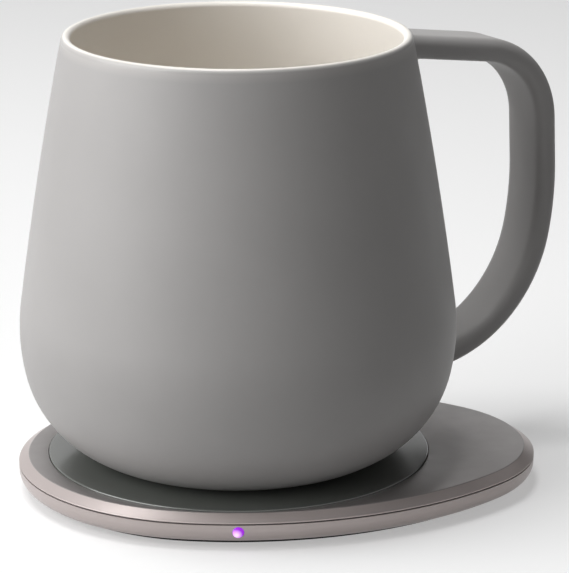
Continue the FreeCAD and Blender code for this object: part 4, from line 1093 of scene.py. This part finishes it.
class MUGWARMER_OT_lamp(bpy.types.Operator):
    """Makes the domed lens of the indicator lamp"""

    bl_idname = "mug_warmer.lamp"
    bl_label = "Make the indicator lens"

    def execute(self, context):
        low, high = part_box("light_guide")
        x, front, z = (low[0] + high[0]) / 2, low[1], (low[2] + high[2]) / 2
        radius = (high[0] - low[0]) / 2
        depth = high[1] - low[1]
        profile = [(0.0, depth), (radius, depth), (radius, LENS_DOME)]
        for turn in np.linspace(0.0, math.pi / 2, LENS_DOME_STEPS)[1:-1]:
            profile.append((radius * math.cos(turn), LENS_DOME * (1 - math.sin(turn))))
        profile.append((0.0, 0.0))
        # The lens faces the front, so its turned rings are laid over from upright.
        rings = [
            [(x + across, front + back, z + up) for across, up, back in ring]
            for ring in lathe(profile, LENS_STEPS)
        ]
        piece = finish_mesh("indicator_lens", *ring_stack(rings, closed=False), sharp=50.0)
        # The pale spot low on one side is a painted highlight on the glowing lens.
        heart = (x - HIGHLIGHT_ASIDE * radius, front, z - HIGHLIGHT_DOWN * radius)
        piece.data.materials.append(lamp_lens(context.scene.mug_warmer_finishes, heart, radius))
        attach(piece, "pad")
        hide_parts("light_guide")
        return {"FINISHED"}


class MUGWARMER_OT_case(bpy.types.Operator):
    """Finishes the lower case, the gasket, the foot and the power inlet"""

    bl_idname = "mug_warmer.case"
    bl_label = "Finish the case"

    def execute(self, context):
        colours = context.scene.mug_warmer_finishes
        dress(edge_metal(colours), "lower_case")
        dress(rubber("black_gasket", tuple(colours.gasket)), "seam_gasket")
        dress(rubber("black_silicone", (0.02, 0.02, 0.021), scale=500.0), "silicone_foot")
        dress(plain_part("plated_steel", (0.62, 0.62, 0.63), 0.28, metallic=1.0), "inlet_shell")
        dress(plain_part("black_moulding", (0.015, 0.015, 0.016), 0.45), "inlet_tongue")
        glue = plain_part("milky_glue", (0.72, 0.70, 0.64), 0.5)
        dress(glue, "foot_adhesive", "glass_adhesive")
        dress(plain_part("screw_steel", (0.42, 0.42, 0.43), 0.35, metallic=1.0), "case_screws")
        return {"FINISHED"}


class MUGWARMER_OT_inside(bpy.types.Operator):
    """Finishes the heater, the circuit board and its parts"""

    bl_idname = "mug_warmer.inside"
    bl_label = "Finish the inside"

    def execute(self, context):
        aluminium = plain_part("spreader_aluminium", (0.78, 0.79, 0.80), 0.3, metallic=1.0)
        dress(aluminium, "heat_spreader")
        dress(film_tracks("amber_film", (0.45, 0.20, 0.04), (0.75, 0.55, 0.30)), "heating_film")
        dress(plain_part("tinned_brass", (0.70, 0.60, 0.42), 0.3, metallic=1.0), "heater_leads")
        foam = plain_part("pale_foam", (0.72, 0.69, 0.60), 0.85, scale=400.0, swing=0.12, bump=0.6)
        dress(foam, "insulation_disc")
        dress(plain_part("sensor_bead", (0.03, 0.03, 0.03), 0.4), "temperature_sensor")
        board = plain_part("green_board", (0.02, 0.13, 0.05), 0.35, scale=1500.0, swing=0.2)
        dress(board, "circuit_board")
        moulding = plain_part("chip_moulding", (0.02, 0.02, 0.02), 0.5)
        dress(moulding, "controller_chip", "driver_chips")
        dress(plain_part("brown_ceramic", (0.32, 0.20, 0.11), 0.5), "capacitors")
        dress(plain_part("grey_ferrite", (0.10, 0.10, 0.10), 0.6), "power_inductors")
        dress(plain_part("white_package", (0.85, 0.85, 0.80), 0.4), "indicator_led")
        return {"FINISHED"}


class MUGWARMER_PT_panel(bpy.types.Panel):
    """Lists the pieces of the mug warmer and their sizes"""

    bl_idname = "MUGWARMER_PT_panel"
    bl_label = "Mug Warmer"
    bl_space_type = "VIEW_3D"
    bl_region_type = "UI"
    bl_category = "Mug Warmer"

    def draw(self, context):
        for operator in OPERATORS:
            self.layout.operator(operator.bl_idname)
        for name, group in GROUPS.items():
            box = self.layout.box()
            settings = getattr(context.scene, name)
            for key in group.__annotations__:
                box.prop(settings, key)


OPERATORS = [
    MUGWARMER_OT_stage,
    MUGWARMER_OT_mug,
    MUGWARMER_OT_lining,
    MUGWARMER_OT_handle,
    MUGWARMER_OT_cover,
    MUGWARMER_OT_glass,
    MUGWARMER_OT_lamp,
    MUGWARMER_OT_case,
    MUGWARMER_OT_inside,
]
GROUPS = {
    "mug_warmer_pad": PadSizes,
    "mug_warmer_mug": MugSizes,
    "mug_warmer_handle": HandleSizes,
    "mug_warmer_finishes": Finishes,
    "mug_warmer_stage": StageSettings,
}


def register():
    for group in GROUPS.values():
        bpy.utils.register_class(group)
    for name, group in GROUPS.items():
        setattr(bpy.types.Scene, name, PointerProperty(type=group))
    for operator in OPERATORS:
        bpy.utils.register_class(operator)
    bpy.utils.register_class(MUGWARMER_PT_panel)


def unregister():
    bpy.utils.unregister_class(MUGWARMER_PT_panel)
    for operator in reversed(OPERATORS):
        bpy.utils.unregister_class(operator)
    for name, group in reversed(list(GROUPS.items())):
        delattr(bpy.types.Scene, name)
        bpy.utils.unregister_class(group)


def main():
    register()
    bpy.ops.mug_warmer.stage()
    bpy.ops.mug_warmer.mug()
    bpy.ops.mug_warmer.lining()
    bpy.ops.mug_warmer.handle()
    bpy.ops.mug_warmer.cover()
    bpy.ops.mug_warmer.glass()
    bpy.ops.mug_warmer.lamp()
    bpy.ops.mug_warmer.case()
    bpy.ops.mug_warmer.inside()
    bpy.context.view_layer.update()


if __name__ == "__main__":
    main()
